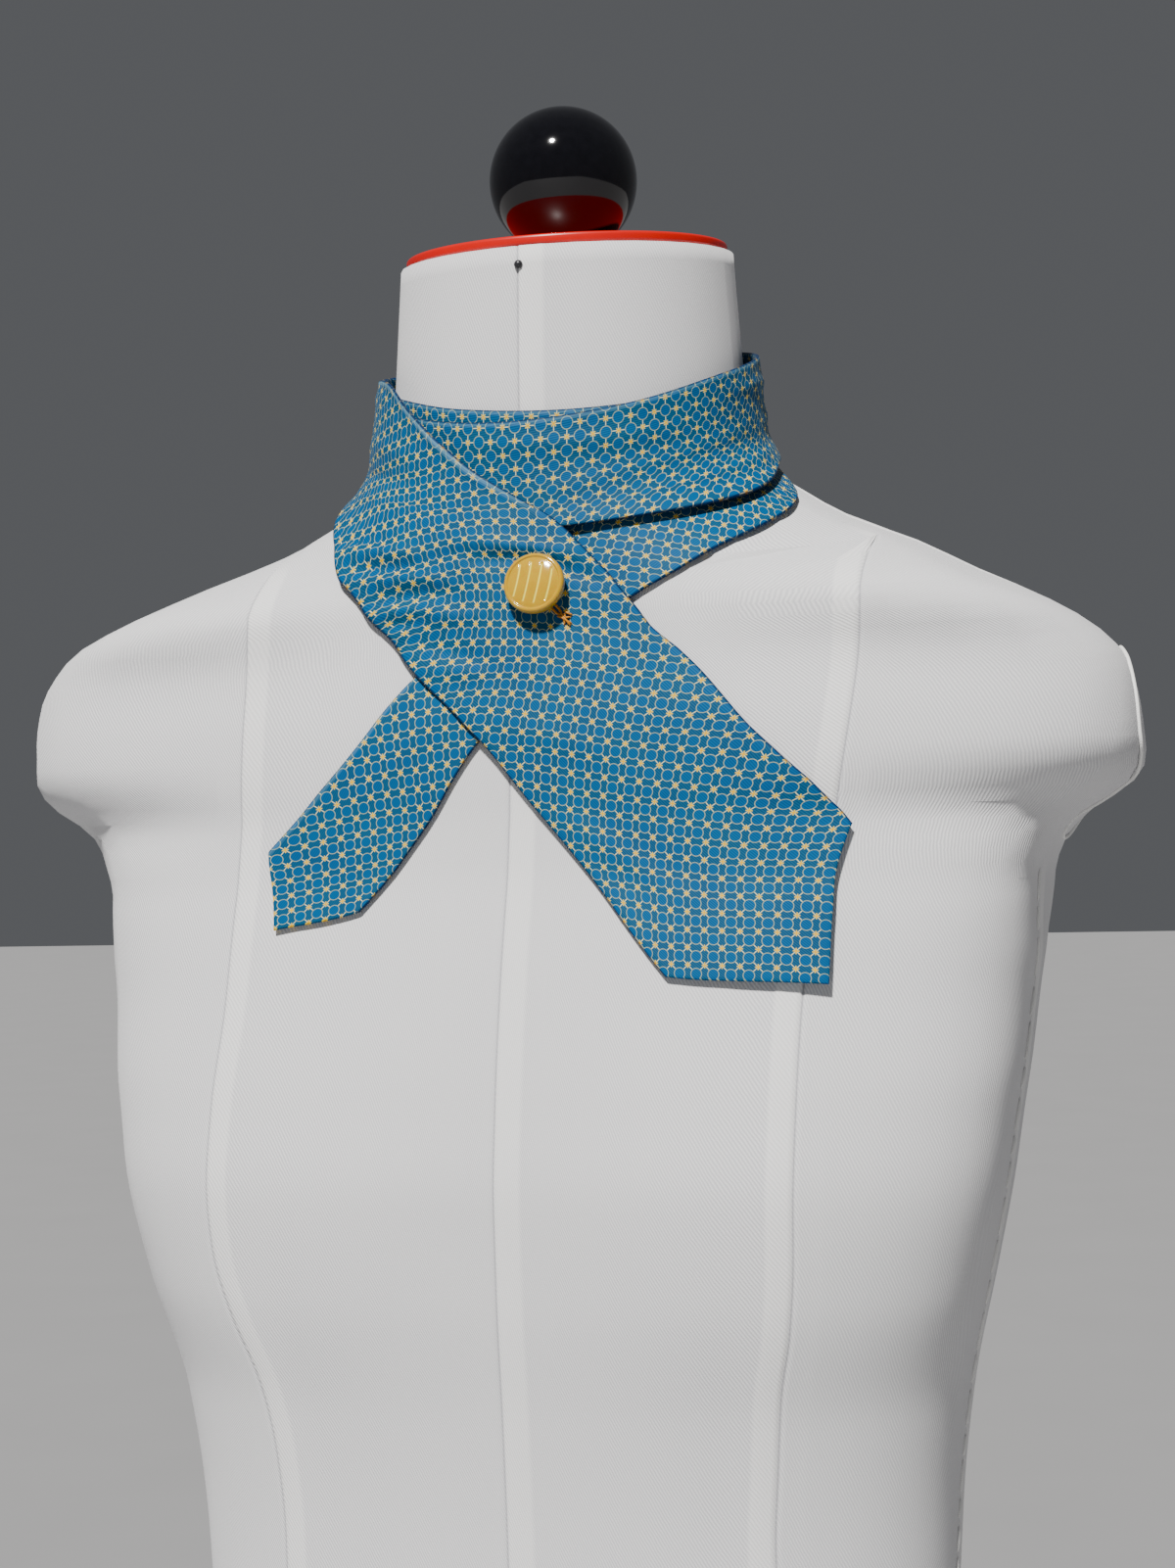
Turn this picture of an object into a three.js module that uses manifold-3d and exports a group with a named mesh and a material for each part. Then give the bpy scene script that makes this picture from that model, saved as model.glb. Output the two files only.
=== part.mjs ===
import * as THREE from 'three';
import { mergeVertices } from 'three/addons/utils/BufferGeometryUtils.js';
import Module from 'manifold-3d';

// A silk cravat on a limbless dress form: one long bias-cut strip with two pointed ends,
// wound three times round the neck, crossed over the chest and fastened by one button.
// Millimetres, +Z up, the front towards -Y, the origin under the middle of the form.

// Driving dimensions
const WALL = 1.4;
const CLEARANCE = 0.3;
const STEP_ALONG = 7;
const CELLS_ACROSS = 6;
const FORM_SIDES = 64;
const RING_PITCH = 36;
const FINE_RING_PITCH = 6;
const NECK_BASE = [600, 656];
const ARM_SHARPNESS = 16;
const BUST = { height: 400, side: 76, swell: 5, spread: 38 };
const NECK_CAP = { scale: 0.965, thickness: 3.6, edge: 1.1, dome: 1.2, seat: 0.32 };
const KNOB = { radius: 26.3, foot: 14, footHeight: 1.8, sides: 28, rows: 14 };
const PIN = { height: 723, turn: 0.5, radius: 1.5, rise: 1.3, sides: 12, rows: 4 };
const BUTTON = {
  height: 611.2, turn: 14.7, lift: 8.1, radius: 10.2, thickness: 4.2, rim: 1.1,
  well: 0.45, dome: 1.1, shank: 3.2, shankHeight: 0.9, lean: 10, sides: 32,
};
const GROOVES = { count: 4, pitch: 3.7, radius: 0.7, length: 14.5, shorter: 2.4, sides: 8 };

// The dress form's sections, from the hips up to the top of the neck. Front, middle and rear
// are distances along Y. Armpit is how far the sides are hollowed, and armLead how far
// forward the arm's cut end leans.
const FORM_COLUMNS = [
  'height', 'halfWidth', 'middle', 'front', 'rear', 'squareness', 'tilt', 'armpit', 'armLead',
];
const FORM_SECTIONS = [
  [0, 156, -30, -118, 72, 2.3, 0, 0, 0],
  [70, 161, -30, -121, 80, 2.3, 0, 0, 0],
  [140, 148, -34, -118, 68, 2.3, 0, 0, 0],
  [200, 133, -38, -114, 56, 2.3, 0, 0, 0],
  [260, 130, -40, -113, 51, 2.35, 0, 0, 0],
  [300, 132, -38, -113, 54, 2.4, 0, 0, 0],
  [340, 137, -38, -114, 60, 2.5, 0, 0, 0],
  [380, 146, -44, -116, 64, 2.8, 0, 0, 0],
  [410, 152.5, -46, -116, 67, 2.9, 0, 0, 0],
  [440, 157.3, -42, -112, 71, 2.9, 0, 0, 0],
  [480, 165.7, -31, -103, 76, 2.8, 0, 3.4, 0.6],
  [500, 177.3, -29, -97, 78, 2.7, 0, 14, 3.4],
  [514, 183.6, -28, -92.5, 78, 2.65, 0, 18.4, 4.2],
  [526, 189.4, -27.5, -90, 78, 2.65, 0, 16.2, -2.4],
  [534, 195.5, -27.5, -88.5, 78, 2.7, 0, 9.4, -10.5],
  [542, 199.4, -27.5, -87.5, 77, 2.75, 0, 2.9, -5.6],
  [552, 198.4, -28, -86, 76, 2.78, 0, 0, 0.7],
  [564, 197.3, -29, -84, 76, 2.78, 1, 0, 1.2],
  [578, 194, -30, -80.5, 75, 2.7, 2, 0, 2.5],
  [588, 186, -32, -78, 75, 2.65, 3.5, 0, 6],
  [598, 171, -36, -75.5, 74, 2.6, 5, 0, 13],
  [608, 148.5, -37, -73.5, 73, 2.5, 7, 0, 17],
  [618, 127, -33, -71.5, 71, 2.3, 9, 0, 6],
  [628, 101.5, -27, -70, 67, 2.15, 11, 0, 0],
  [638, 85, -20, -68.5, 62, 2.05, 12.5, 0, 0],
  [648, 71.5, -14, -67, 57, 2, 13.5, 0, 0],
  [662, 64.5, -9, -66, 53, 2, 14, 0, 0],
  [690, 62, -7, -65, 50, 2, 12, 0, 0],
  [712, 60.5, -6, -63, 50, 2, 8, 0, 0],
  [728, 59.5, -5, -61.3, 50.5, 2, 3.5, 0, 0],
];
const NECK_TOP = 728;

// The strip's two edges on the form, row by row from the narrow point to the wide one.
// Turns are degrees round the neck from the front, growing towards the form's left, one
// winding being 360. Lifts are the inner face's distance from the form.
const STRIP_COLUMNS = [
  'upperTurn', 'upperHeight', 'upperLift', 'lowerTurn', 'lowerHeight', 'lowerLift', 'belly',
];
const STRIP_SECTIONS = [
  [-59, 507.3, 0.9, -43, 487.8, 0.9, 0],
  [-55, 523.7, 0.9, -36.6, 503.3, 0.9, 0],
  [-45.6, 551.9, 0.9, -25.5, 528, 0.9, 0],
  [-35.3, 581.3, 0.9, -10.1, 558, 0.9, 0],
  [-13, 612, 0.9, 18, 586, 0.9, 0],
  [20, 640, 0.9, 49.8, 609, 0.9, 0],
  [53, 657, 0.9, 65, 626.5, 0.9, 0],
  [82, 671, 0.9, 86, 637.5, 0.9, 0],
  [122, 680, 0.9, 122, 648, 0.9, 0],
  [180, 685, 0.9, 180, 650, 0.9, 0],
  [240, 687.5, 0.9, 240, 650, 0.9, 0],
  [300, 687, 0.9, 300, 650, 0.9, 0],
  [340, 683, 1.5, 340, 644, 1.5, 0],
  [380, 680.5, 2.6, 380, 641.5, 2.6, 0],
  [420, 681.5, 2.85, 420, 642.5, 2.95, 0],
  [470, 686, 2.8, 470, 649, 2.85, 0],
  [540, 689, 2.7, 540, 650, 2.7, 0],
  [600, 690.5, 2.7, 600, 651, 2.7, 0],
  [650, 686, 2.7, 650, 647, 2.7, 0],
  [685, 680, 3.4, 685, 640.5, 3.4, 0],
  [720, 678, 4.3, 720, 637.5, 4.3, 0],
  [755, 680.3, 4.5, 755, 637.6, 4.5, 0.2],
  [790, 686, 4.65, 790, 639.4, 4.75, 0.3],
  [830, 690, 4.6, 830, 649.5, 4.65, 0.2],
  [900, 692, 4.5, 900, 649, 4.5, 0.3],
  [955, 692.5, 4.5, 950, 648, 4.5, 0.6],
  [1002, 692, 4.6, 980, 647.5, 4.5, 1],
  [1027, 691.5, 5, 1001, 643, 4.3, 2],
  [1041, 683, 5.6, 1014, 632.5, 3.7, 2.8],
  [1055, 672, 6.1, 1019.2, 616.5, 2.8, 3.4],
  [1069, 660.5, 6.3, 1025.5, 603.5, 2, 3.4],
  [1087.5, 646.5, 6.6, 1037, 591.5, 2, 3.2],
  [1104, 632.5, 5.6, 1048.5, 579, 2.7, 2.4],
  [1125.5, 610.6, 3.4, 1063, 565.5, 2.8, 1.2],
  [1131, 590, 2, 1079, 548, 2.4, 0.7],
  [1136.5, 558, 1.4, 1102.5, 515.5, 1.3, 0.3],
  [1144, 528, 2, 1117.8, 481.4, 1.2, 0],
  [1148.5, 500, 5, 1129, 456, 1.2, 0],
];

// The stretches of the strip, each from one row of the table to another.
const STRETCHES = [
  { name: 'tail', from: 0, to: 4.6, pointed: 'start' },
  { name: 'lower_turn', from: 4.6, to: 10.5 },
  { name: 'inner_turn', from: 10.5, to: 17.5 },
  { name: 'outer_turn', from: 17.5, to: 24.5 },
  { name: 'blade', from: 24.5, to: 37, pointed: 'end' },
];
const POINT_BLEND = 2;

const wasm = await Module();
wasm.setup();

// Names each column of a table's rows.
function named(columns, rows) {
  return rows.map((row) => Object.fromEntries(columns.map((key, i) => [key, row[i]])));
}

// A smooth curve through the points (xs, ys) that never overshoots them.
function monotoneCurve(xs, ys) {
  const last = xs.length - 1;
  const chords = xs.slice(1).map((x, i) => (ys[i + 1] - ys[i]) / (x - xs[i]));
  const slopes = xs.map((x, i) => {
    if (i === 0) return chords[0];
    if (i === last) return chords[last - 1];
    const before = chords[i - 1];
    const after = chords[i];
    if (before * after <= 0) return 0;
    const left = xs[i] - xs[i - 1];
    const right = xs[i + 1] - xs[i];
    const a = left + 2 * right;
    const b = 2 * left + right;
    return (a + b) / (a / before + b / after);
  });
  return (x) => {
    let i = 0;
    while (i < last - 1 && x > xs[i + 1]) i += 1;
    const width = xs[i + 1] - xs[i];
    const t = (x - xs[i]) / width;
    const rise = t * t * (3 - 2 * t);
    const start = t * (1 - t) * (1 - t) * slopes[i];
    const end = t * t * (t - 1) * slopes[i + 1];
    return ys[i] + rise * (ys[i + 1] - ys[i]) + width * (start + end);
  };
}

const sections = named(FORM_COLUMNS, FORM_SECTIONS);
const heights = sections.map((row) => row.height);
const profile = {};
for (const key of FORM_COLUMNS.slice(1)) {
  profile[key] = monotoneCurve(heights, sections.map((row) => row[key]));
}

// A point of the form's surface, or of a ring drawn in by the scale.
function formPoint(height, turn, scale = 1) {
  const angle = THREE.MathUtils.degToRad(turn);
  const middle = profile.middle(height);
  const ahead = Math.cos(angle) > 0;
  const depth = ahead ? middle - profile.front(height) : profile.rear(height) - middle;
  const power = profile.squareness(height);
  const across = Math.abs(Math.sin(angle) / profile.halfWidth(height)) ** power;
  const along = Math.abs(Math.cos(angle) / depth) ** power;
  const side = Math.abs(Math.sin(angle)) ** ARM_SHARPNESS;
  const reach = scale * ((across + along) ** (-1 / power) - profile.armpit(height) * side);
  const x = reach * Math.sin(angle);
  const y = -reach * Math.cos(angle) - profile.armLead(height) * side;
  const z = height + y * Math.tan(THREE.MathUtils.degToRad(profile.tilt(height)));
  const aside = Math.abs(x) - BUST.side;
  const above = height - BUST.height;
  const bust = BUST.swell * Math.exp(-(aside ** 2 + above ** 2) / (2 * BUST.spread ** 2));
  return new THREE.Vector3(x, middle + y - (ahead ? bust * Math.cos(angle) : 0), z);
}

// The direction out of the form at a point of its surface.
function formNormal(height, turn) {
  const reach = 0.5;
  const up = formPoint(height + reach, turn).sub(formPoint(height - reach, turn));
  const round = formPoint(height, turn + reach).sub(formPoint(height, turn - reach));
  return round.cross(up).normalize();
}

function liftedPoint(height, turn, lift) {
  return formPoint(height, turn).addScaledVector(formNormal(height, turn), lift);
}

// A closed body from an outline of points and a list of faces over them.
function solidFrom(points, triangles) {
  const positions = new Float32Array(points.length * 3);
  points.forEach((point, i) => point.toArray(positions, 3 * i));
  const geometry = new THREE.BufferGeometry();
  geometry.setAttribute('position', new THREE.BufferAttribute(positions, 3));
  geometry.setIndex(triangles);
  geometry.computeVertexNormals();
  return geometry;
}

// A closed body through rings of equal count, each end closed to its ring's centre.
function ringSolid(rings) {
  const sides = rings[0].length;
  const points = rings.flat();
  const triangles = [];
  for (let r = 0; r < rings.length - 1; r += 1) {
    for (let i = 0; i < sides; i += 1) {
      const next = (i + 1) % sides;
      const [a, b] = [r * sides + i, r * sides + next];
      const [c, d] = [a + sides, b + sides];
      triangles.push(a, b, d, a, d, c);
    }
  }
  for (const [ring, first] of [[rings[0], true], [rings[rings.length - 1], false]]) {
    const centre = ring.reduce((sum, p) => sum.add(p), new THREE.Vector3()).divideScalar(sides);
    const hub = points.push(centre) - 1;
    const base = first ? 0 : (rings.length - 1) * sides;
    for (let i = 0; i < sides; i += 1) {
      const next = (i + 1) % sides;
      if (first) triangles.push(hub, base + next, base + i);
      else triangles.push(hub, base + i, base + next);
    }
  }
  return solidFrom(points, triangles);
}

// The turns of a section's points, closer together at the narrow shoulder ends.
const FORM_TURNS = Array.from({ length: FORM_SIDES }, (_, i) => {
  const angle = (2 * Math.PI * i) / FORM_SIDES;
  return THREE.MathUtils.radToDeg(Math.atan2(1.6 * Math.sin(angle), Math.cos(angle)));
});

function formRing(height, scale = 1) {
  return FORM_TURNS.map((turn) => formPoint(height, turn, scale));
}

function dressForm() {
  const levels = [];
  for (let i = 0; i < heights.length - 1; i += 1) {
    const fine = heights[i + 1] >= NECK_BASE[0] && heights[i] < NECK_BASE[1];
    const pitch = fine ? FINE_RING_PITCH : RING_PITCH;
    const parts = Math.ceil((heights[i + 1] - heights[i]) / pitch);
    for (let k = 0; k < parts; k += 1) {
      levels.push(heights[i] + (k / parts) * (heights[i + 1] - heights[i]));
    }
  }
  levels.push(NECK_TOP);
  return ringSolid(levels.map((height) => formRing(height)));
}

// The plastic cap over the top of the neck, parallel to it.
function neckCap() {
  const { scale, thickness, edge, dome, seat } = NECK_CAP;
  const steps = [
    [scale - 0.02, CLEARANCE],
    [scale, CLEARANCE + edge],
    [scale, CLEARANCE + thickness - edge],
    [scale - 0.02, CLEARANCE + thickness],
    [(scale + seat) / 2, CLEARANCE + thickness + 0.7 * dome],
    [seat, CLEARANCE + thickness + dome],
  ];
  const rings = steps.map(([part, rise]) => formRing(NECK_TOP, part).map((p) => {
    p.z += rise;
    return p;
  }));
  return ringSolid(rings);
}

// The turned ball on its short foot.
function knob() {
  const { radius, foot, footHeight, sides, rows } = KNOB;
  const start = Math.asin(foot / radius);
  const centre = footHeight + radius * Math.cos(start);
  const outline = [new THREE.Vector2(0, 0), new THREE.Vector2(foot + 2, 0)];
  for (let i = 0; i <= rows; i += 1) {
    const angle = start + (i / rows) * (Math.PI - start);
    const across = i === rows ? 0 : radius * Math.sin(angle);
    outline.push(new THREE.Vector2(across, centre - radius * Math.cos(angle)));
  }
  return latheSolid(outline, sides);
}

// A turned body standing on z = 0 with its vertices merged.
function latheSolid(outline, sides) {
  const geometry = new THREE.LatheGeometry(outline, sides);
  geometry.rotateX(Math.PI / 2);
  return merged(geometry);
}

function merged(geometry) {
  geometry.deleteAttribute('normal');
  geometry.deleteAttribute('uv');
  const shared = mergeVertices(geometry, 1e-4);
  const index = Array.from(shared.index.array);
  const kept = [];
  for (let i = 0; i < index.length; i += 3) {
    const [a, b, c] = index.slice(i, i + 3);
    if (a !== b && b !== c && c !== a) kept.push(a, b, c);
  }
  shared.setIndex(kept);
  return shared;
}

// The smooth value of a column between two rows of the strip's table.
const stripRows = named(STRIP_COLUMNS, STRIP_SECTIONS);
function stripValue(row, key) {
  const last = stripRows.length - 1;
  const i = Math.min(Math.floor(row), last - 1);
  const t = row - i;
  const at = (k) => stripRows[Math.min(Math.max(k, 0), last)][key];
  const [p, a, b, n] = [at(i - 1), at(i), at(i + 1), at(i + 2)];
  const slopeA = i === 0 ? b - a : (b - p) / 2;
  const slopeB = i === last - 1 ? b - a : (n - a) / 2;
  const rise = t * t * (3 - 2 * t);
  return a + rise * (b - a) + t * (1 - t) * ((1 - t) * slopeA - t * slopeB);
}

// A point of the strip: its row, how far across from the upper edge, how far up in the wall.
function stripPoint(row, across, raise) {
  const mix = (upper, lower) => THREE.MathUtils.lerp(
    stripValue(row, upper), stripValue(row, lower), across);
  const belly = stripValue(row, 'belly') * Math.sin(Math.PI * across);
  const lift = mix('upperLift', 'lowerLift') + belly + raise;
  return liftedPoint(mix('upperHeight', 'lowerHeight'), mix('upperTurn', 'lowerTurn'), lift);
}

// The row at which one line of the strip is cut, so that a pointed end comes to 90 degrees.
function pointedRow(row, across, pointed) {
  const last = stripRows.length - 1;
  const aside = Math.abs(2 * across - 1);
  if (pointed === 'start' && row < POINT_BLEND) {
    return row + aside * (1 - row / POINT_BLEND);
  }
  if (pointed === 'end' && row > last - POINT_BLEND) {
    return row - aside * (1 - (last - row) / POINT_BLEND);
  }
  return row;
}

// One stretch of the strip as a closed wall of even thickness.
function stretchSolid({ from, to, pointed }) {
  const rows = [];
  for (let i = Math.floor(from); i < to; i += 1) {
    const start = Math.max(i, from);
    const end = Math.min(i + 1, to);
    const length = stripPoint(start, 0.5, 0).distanceTo(stripPoint(end, 0.5, 0));
    const parts = Math.ceil(length / STEP_ALONG);
    for (let k = 0; k < parts; k += 1) rows.push(start + (k / parts) * (end - start));
  }
  rows.push(to);
  const rowLength = stripPoint(rows[0], 0.5, 0).distanceTo(stripPoint(rows[1], 0.5, 0));
  const trim = ((CLEARANCE / 2) * (rows[1] - rows[0])) / rowLength;
  if (pointed !== 'start') rows[0] += trim;
  if (pointed !== 'end') rows[rows.length - 1] -= trim;

  const lines = CELLS_ACROSS + 1;
  const points = [];
  for (const raise of [0, WALL]) {
    for (const row of rows) {
      for (let j = 0; j < lines; j += 1) {
        const across = j / CELLS_ACROSS;
        points.push(stripPoint(pointedRow(row, across, pointed), across, raise));
      }
    }
  }
  const half = rows.length * lines;
  const triangles = [];
  const quad = (a, b, c, d) => triangles.push(a, b, c, a, c, d);
  for (let i = 0; i < rows.length - 1; i += 1) {
    for (let j = 0; j < CELLS_ACROSS; j += 1) {
      const a = i * lines + j;
      quad(a, a + lines, a + lines + 1, a + 1);
      quad(half + a, half + a + 1, half + a + lines + 1, half + a + lines);
    }
    const upper = i * lines;
    const lower = upper + CELLS_ACROSS;
    quad(upper, half + upper, half + upper + lines, upper + lines);
    quad(lower, lower + lines, half + lower + lines, half + lower);
  }
  for (let j = 0; j < CELLS_ACROSS; j += 1) {
    const end = half - lines + j;
    quad(j, j + 1, half + j + 1, half + j);
    quad(end, half + end, half + end + 1, end + 1);
  }
  return solidFrom(points, triangles);
}

function toManifold(geometry) {
  const vertProperties = Float32Array.from(geometry.attributes.position.array);
  const triVerts = Uint32Array.from(geometry.index.array);
  return new wasm.Manifold(new wasm.Mesh({ numProp: 3, vertProperties, triVerts }));
}

function fromManifold(solid) {
  const { vertProperties, triVerts } = solid.getMesh();
  const geometry = new THREE.BufferGeometry();
  geometry.setAttribute('position', new THREE.BufferAttribute(vertProperties, 3));
  geometry.setIndex(new THREE.BufferAttribute(triVerts, 1));
  geometry.computeVertexNormals();
  return geometry;
}

// The domed button with a raised rim, four scored lines and a boss for its shank.
function button() {
  const { radius, thickness, rim, well, dome, shank, shankHeight, sides } = BUTTON;
  const face = shankHeight + thickness;
  const outline = [
    [0, 0], [shank, 0], [shank, shankHeight], [radius - 1.6, shankHeight],
    [radius - 0.4, shankHeight + 0.8], [radius, shankHeight + 1.8],
    [radius - 0.15, face - 0.9], [radius - 0.6, face - 0.2], [radius - rim, face],
    [radius - rim - 0.5, face - well], [radius * 0.55, face - well + 0.7 * dome],
    [radius * 0.25, face - well + 0.95 * dome], [0, face - well + dome],
  ].map(([x, y]) => new THREE.Vector2(x, y));
  let body = toManifold(latheSolid(outline, sides));
  for (let i = 0; i < GROOVES.count; i += 1) {
    const place = i - (GROOVES.count - 1) / 2;
    const length = GROOVES.length - (Math.abs(place) > 1 ? GROOVES.shorter : 0);
    const cutter = new THREE.CylinderGeometry(
      GROOVES.radius, GROOVES.radius, length, GROOVES.sides);
    const rise = face - well + dome * (1 - (place * GROOVES.pitch / radius) ** 2) + 0.25;
    cutter.translate(place * GROOVES.pitch, 0, rise);
    body = body.subtract(toManifold(merged(cutter)));
  }
  return fromManifold(body);
}

function pinHead() {
  const outline = [new THREE.Vector2(0, 0)];
  for (let i = 0; i <= PIN.rows; i += 1) {
    const angle = (i / PIN.rows) * (Math.PI / 2);
    const across = i === PIN.rows ? 0 : PIN.radius * Math.cos(angle);
    outline.push(new THREE.Vector2(across, 0.2 + PIN.rise * Math.sin(angle)));
  }
  outline.splice(1, 0, new THREE.Vector2(PIN.radius * 0.85, 0));
  return latheSolid(outline, PIN.sides);
}

// Seats a body that stands on z = 0 on the form, facing out, leaning in its own plane.
function seatOnForm(mesh, { height, turn, lift = CLEARANCE, lean = 0 }) {
  const out = formNormal(height, turn);
  const side = new THREE.Vector3(0, 0, 1).cross(out).normalize();
  const up = out.clone().cross(side);
  mesh.quaternion.setFromRotationMatrix(new THREE.Matrix4().makeBasis(side, up, out));
  mesh.rotateZ(THREE.MathUtils.degToRad(-lean));
  mesh.position.copy(liftedPoint(height, turn, lift));
}

const cravat = new THREE.Group();

function add(name, geometry, color, roughness) {
  const material = new THREE.MeshStandardMaterial({ color, roughness, metalness: 0 });
  const mesh = new THREE.Mesh(geometry, material);
  mesh.name = name;
  cravat.add(mesh);
  return mesh;
}

add('dress_form', dressForm(), 0xe6e5e8, 0.9);
add('neck_cap', neckCap(), 0xc22418, 0.4);

const knobMesh = add('knob', knob(), 0x0b0c10, 0.12);
knobMesh.position.copy(formPoint(NECK_TOP, 0, 0));
knobMesh.position.z += 2 * CLEARANCE + NECK_CAP.thickness + NECK_CAP.dome;
knobMesh.rotation.x = THREE.MathUtils.degToRad(profile.tilt(NECK_TOP));

seatOnForm(add('neck_pin', pinHead(), 0x16161a, 0.3), PIN);

for (const stretch of STRETCHES) {
  add(stretch.name, stretchSolid(stretch), 0x1d6591, 0.55);
}

seatOnForm(add('button', button(), 0xc79a2c, 0.3), BUTTON);

// The origin stands under the middle of the outline, seen from above.
cravat.updateMatrixWorld(true);
const box = new THREE.Box3().setFromObject(cravat, true);
cravat.position.set(-(box.min.x + box.max.x) / 2, -(box.min.y + box.max.y) / 2, -box.min.z);

export default cravat;
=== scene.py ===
import math

import bmesh
import bpy
from mathutils import Matrix, Vector


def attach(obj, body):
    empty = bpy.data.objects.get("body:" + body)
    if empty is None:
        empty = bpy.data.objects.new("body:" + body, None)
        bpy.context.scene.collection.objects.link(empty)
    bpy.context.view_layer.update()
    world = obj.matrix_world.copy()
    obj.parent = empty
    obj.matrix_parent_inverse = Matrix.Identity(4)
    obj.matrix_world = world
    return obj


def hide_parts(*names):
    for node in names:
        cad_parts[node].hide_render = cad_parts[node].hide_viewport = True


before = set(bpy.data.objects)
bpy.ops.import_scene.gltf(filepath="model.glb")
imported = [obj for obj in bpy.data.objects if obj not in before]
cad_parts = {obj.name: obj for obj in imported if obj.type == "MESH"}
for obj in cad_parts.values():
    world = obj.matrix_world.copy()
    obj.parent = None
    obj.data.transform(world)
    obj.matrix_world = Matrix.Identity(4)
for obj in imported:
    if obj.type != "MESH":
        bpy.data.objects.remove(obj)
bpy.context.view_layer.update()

# The view. A still camera a little to the form's left and level with its chest,
# turned slightly on its own axis, with the cravat in the upper half of the picture.
VIEW_TARGET = Vector((0, 0.0205, 0.543))
VIEW_DISTANCE = 0.95
VIEW_TURN = math.radians(17)
VIEW_ROLL = math.radians(1.8)
FOCAL_PIXELS = 2707.5
PICTURE_HEIGHT = 1601

view_right = Vector((math.cos(VIEW_TURN), math.sin(VIEW_TURN), 0))
view_back = Vector((math.sin(VIEW_TURN), -math.cos(VIEW_TURN), 0))
view_up = Vector((0, 0, 1))
camera_data = bpy.data.cameras.new("view")
camera_data.lens = camera_data.sensor_width * FOCAL_PIXELS / PICTURE_HEIGHT
camera = bpy.data.objects.new("view", camera_data)
bpy.context.collection.objects.link(camera)
camera_x = view_right * math.cos(VIEW_ROLL) - view_up * math.sin(VIEW_ROLL)
camera_y = view_right * math.sin(VIEW_ROLL) + view_up * math.cos(VIEW_ROLL)
camera.matrix_world = (
    Matrix.Translation(VIEW_TARGET + view_back * VIEW_DISTANCE)
    @ Matrix((camera_x, camera_y, view_back)).transposed().to_4x4()
)
bpy.context.scene.camera = camera

# The studio. A wide pale floor of painted board, one distant soft lamp high in front and a
# little to the left as the main light, and dim cool air all round.
FLOOR_HALF = 8
FLOOR_COLOUR = (0.28, 0.28, 0.285, 1)
FLOOR_SHADE = (0.2632, 0.2632, 0.2679, 1)
AIR_COLOUR = (0.60, 0.62, 0.66, 1)
AIR_STRENGTH = 0.17
MAIN_TOWARDS = (-0.22, 0.80, 0.56)
MAIN_STRENGTH, MAIN_SPREAD, MAIN_COLOUR = 6.6, 5, (1, 0.98, 0.95)


def feed(tree, socket, value):
    """Links a node's output to an input, or sets the input to a plain value."""
    if isinstance(value, bpy.types.NodeSocket):
        tree.links.new(value, socket)
    else:
        socket.default_value = value


def add_node(tree, kind, settings=None, **inputs):
    """Adds a shader node with its settings and inputs."""
    made = tree.nodes.new(kind)
    for name, value in (settings or {}).items():
        setattr(made, name, value)
    for name, value in inputs.items():
        feed(tree, made.inputs[name], value)
    return made


def noise(tree, place, scale, detail=2.0):
    """A cloudy pattern over a place, from 0 to 1."""
    made = add_node(tree, "ShaderNodeTexNoise", Vector=place, Scale=scale, Detail=detail)
    return made.outputs["Fac"]


def mix_colours(tree, factor, first, second):
    """One colour Mix node's output."""
    made = add_node(tree, "ShaderNodeMix", {"data_type": "RGBA"})
    for index, value in ((0, factor), (6, first), (7, second)):
        feed(tree, made.inputs[index], value)
    return made.outputs[2]


def new_material(name):
    """A node material, its node tree and its shader."""
    material = bpy.data.materials.new(name)
    material.use_nodes = True
    shader = material.node_tree.nodes["Principled BSDF"]
    return material, material.node_tree, shader


def object_place(tree):
    return add_node(tree, "ShaderNodeTexCoord").outputs["Object"]


def link(tree, output, shader, name):
    tree.links.new(output, shader.inputs[name])


def finish_mesh(name, bm, material):
    """Makes a smooth object of a bmesh, at the origin, with its material."""
    mesh = bpy.data.meshes.new(name)
    bm.to_mesh(mesh)
    bm.free()
    mesh.materials.append(material)
    for polygon in mesh.polygons:
        polygon.use_smooth = True
    made = bpy.data.objects.new(name, mesh)
    bpy.context.collection.objects.link(made)
    return made


main_data = bpy.data.lights.new("main_lamp", "SUN")
main_data.energy = MAIN_STRENGTH
main_data.angle = math.radians(MAIN_SPREAD)
main_data.color = MAIN_COLOUR
main_lamp = bpy.data.objects.new("main_lamp", main_data)
bpy.context.collection.objects.link(main_lamp)
right, up, back = MAIN_TOWARDS
towards = view_right * right + view_up * up + view_back * back
main_lamp.rotation_euler = towards.to_track_quat("Z", "Y").to_euler()

air = bpy.data.worlds.new("air")
air.use_nodes = True
air.node_tree.nodes["Background"].inputs["Color"].default_value = AIR_COLOUR
air.node_tree.nodes["Background"].inputs["Strength"].default_value = AIR_STRENGTH
bpy.context.scene.world = air

floor_paint, tree, shader = new_material("floor_paint")
mottle = noise(tree, object_place(tree), 9.0)
link(tree, mix_colours(tree, mottle, FLOOR_COLOUR, FLOOR_SHADE), shader, "Base Color")
shader.inputs["Roughness"].default_value = 0.75
bm = bmesh.new()
bmesh.ops.create_grid(bm, x_segments=2, y_segments=2, size=FLOOR_HALF)
floor = finish_mesh("studio_floor", bm, floor_paint)

# The dress form. A limbless padded torso covered in off-white cotton twill, cut in panels
# that are sewn together down the front, over the bust and down the sides and back.
MM = 0.001
FORM_FORWARD = 20.5
ARM_SHARPNESS = 16
BUST_HEIGHT, BUST_SIDE, BUST_SWELL, BUST_SPREAD = 400, 76, 5, 38
NECK_TOP = 728
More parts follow.
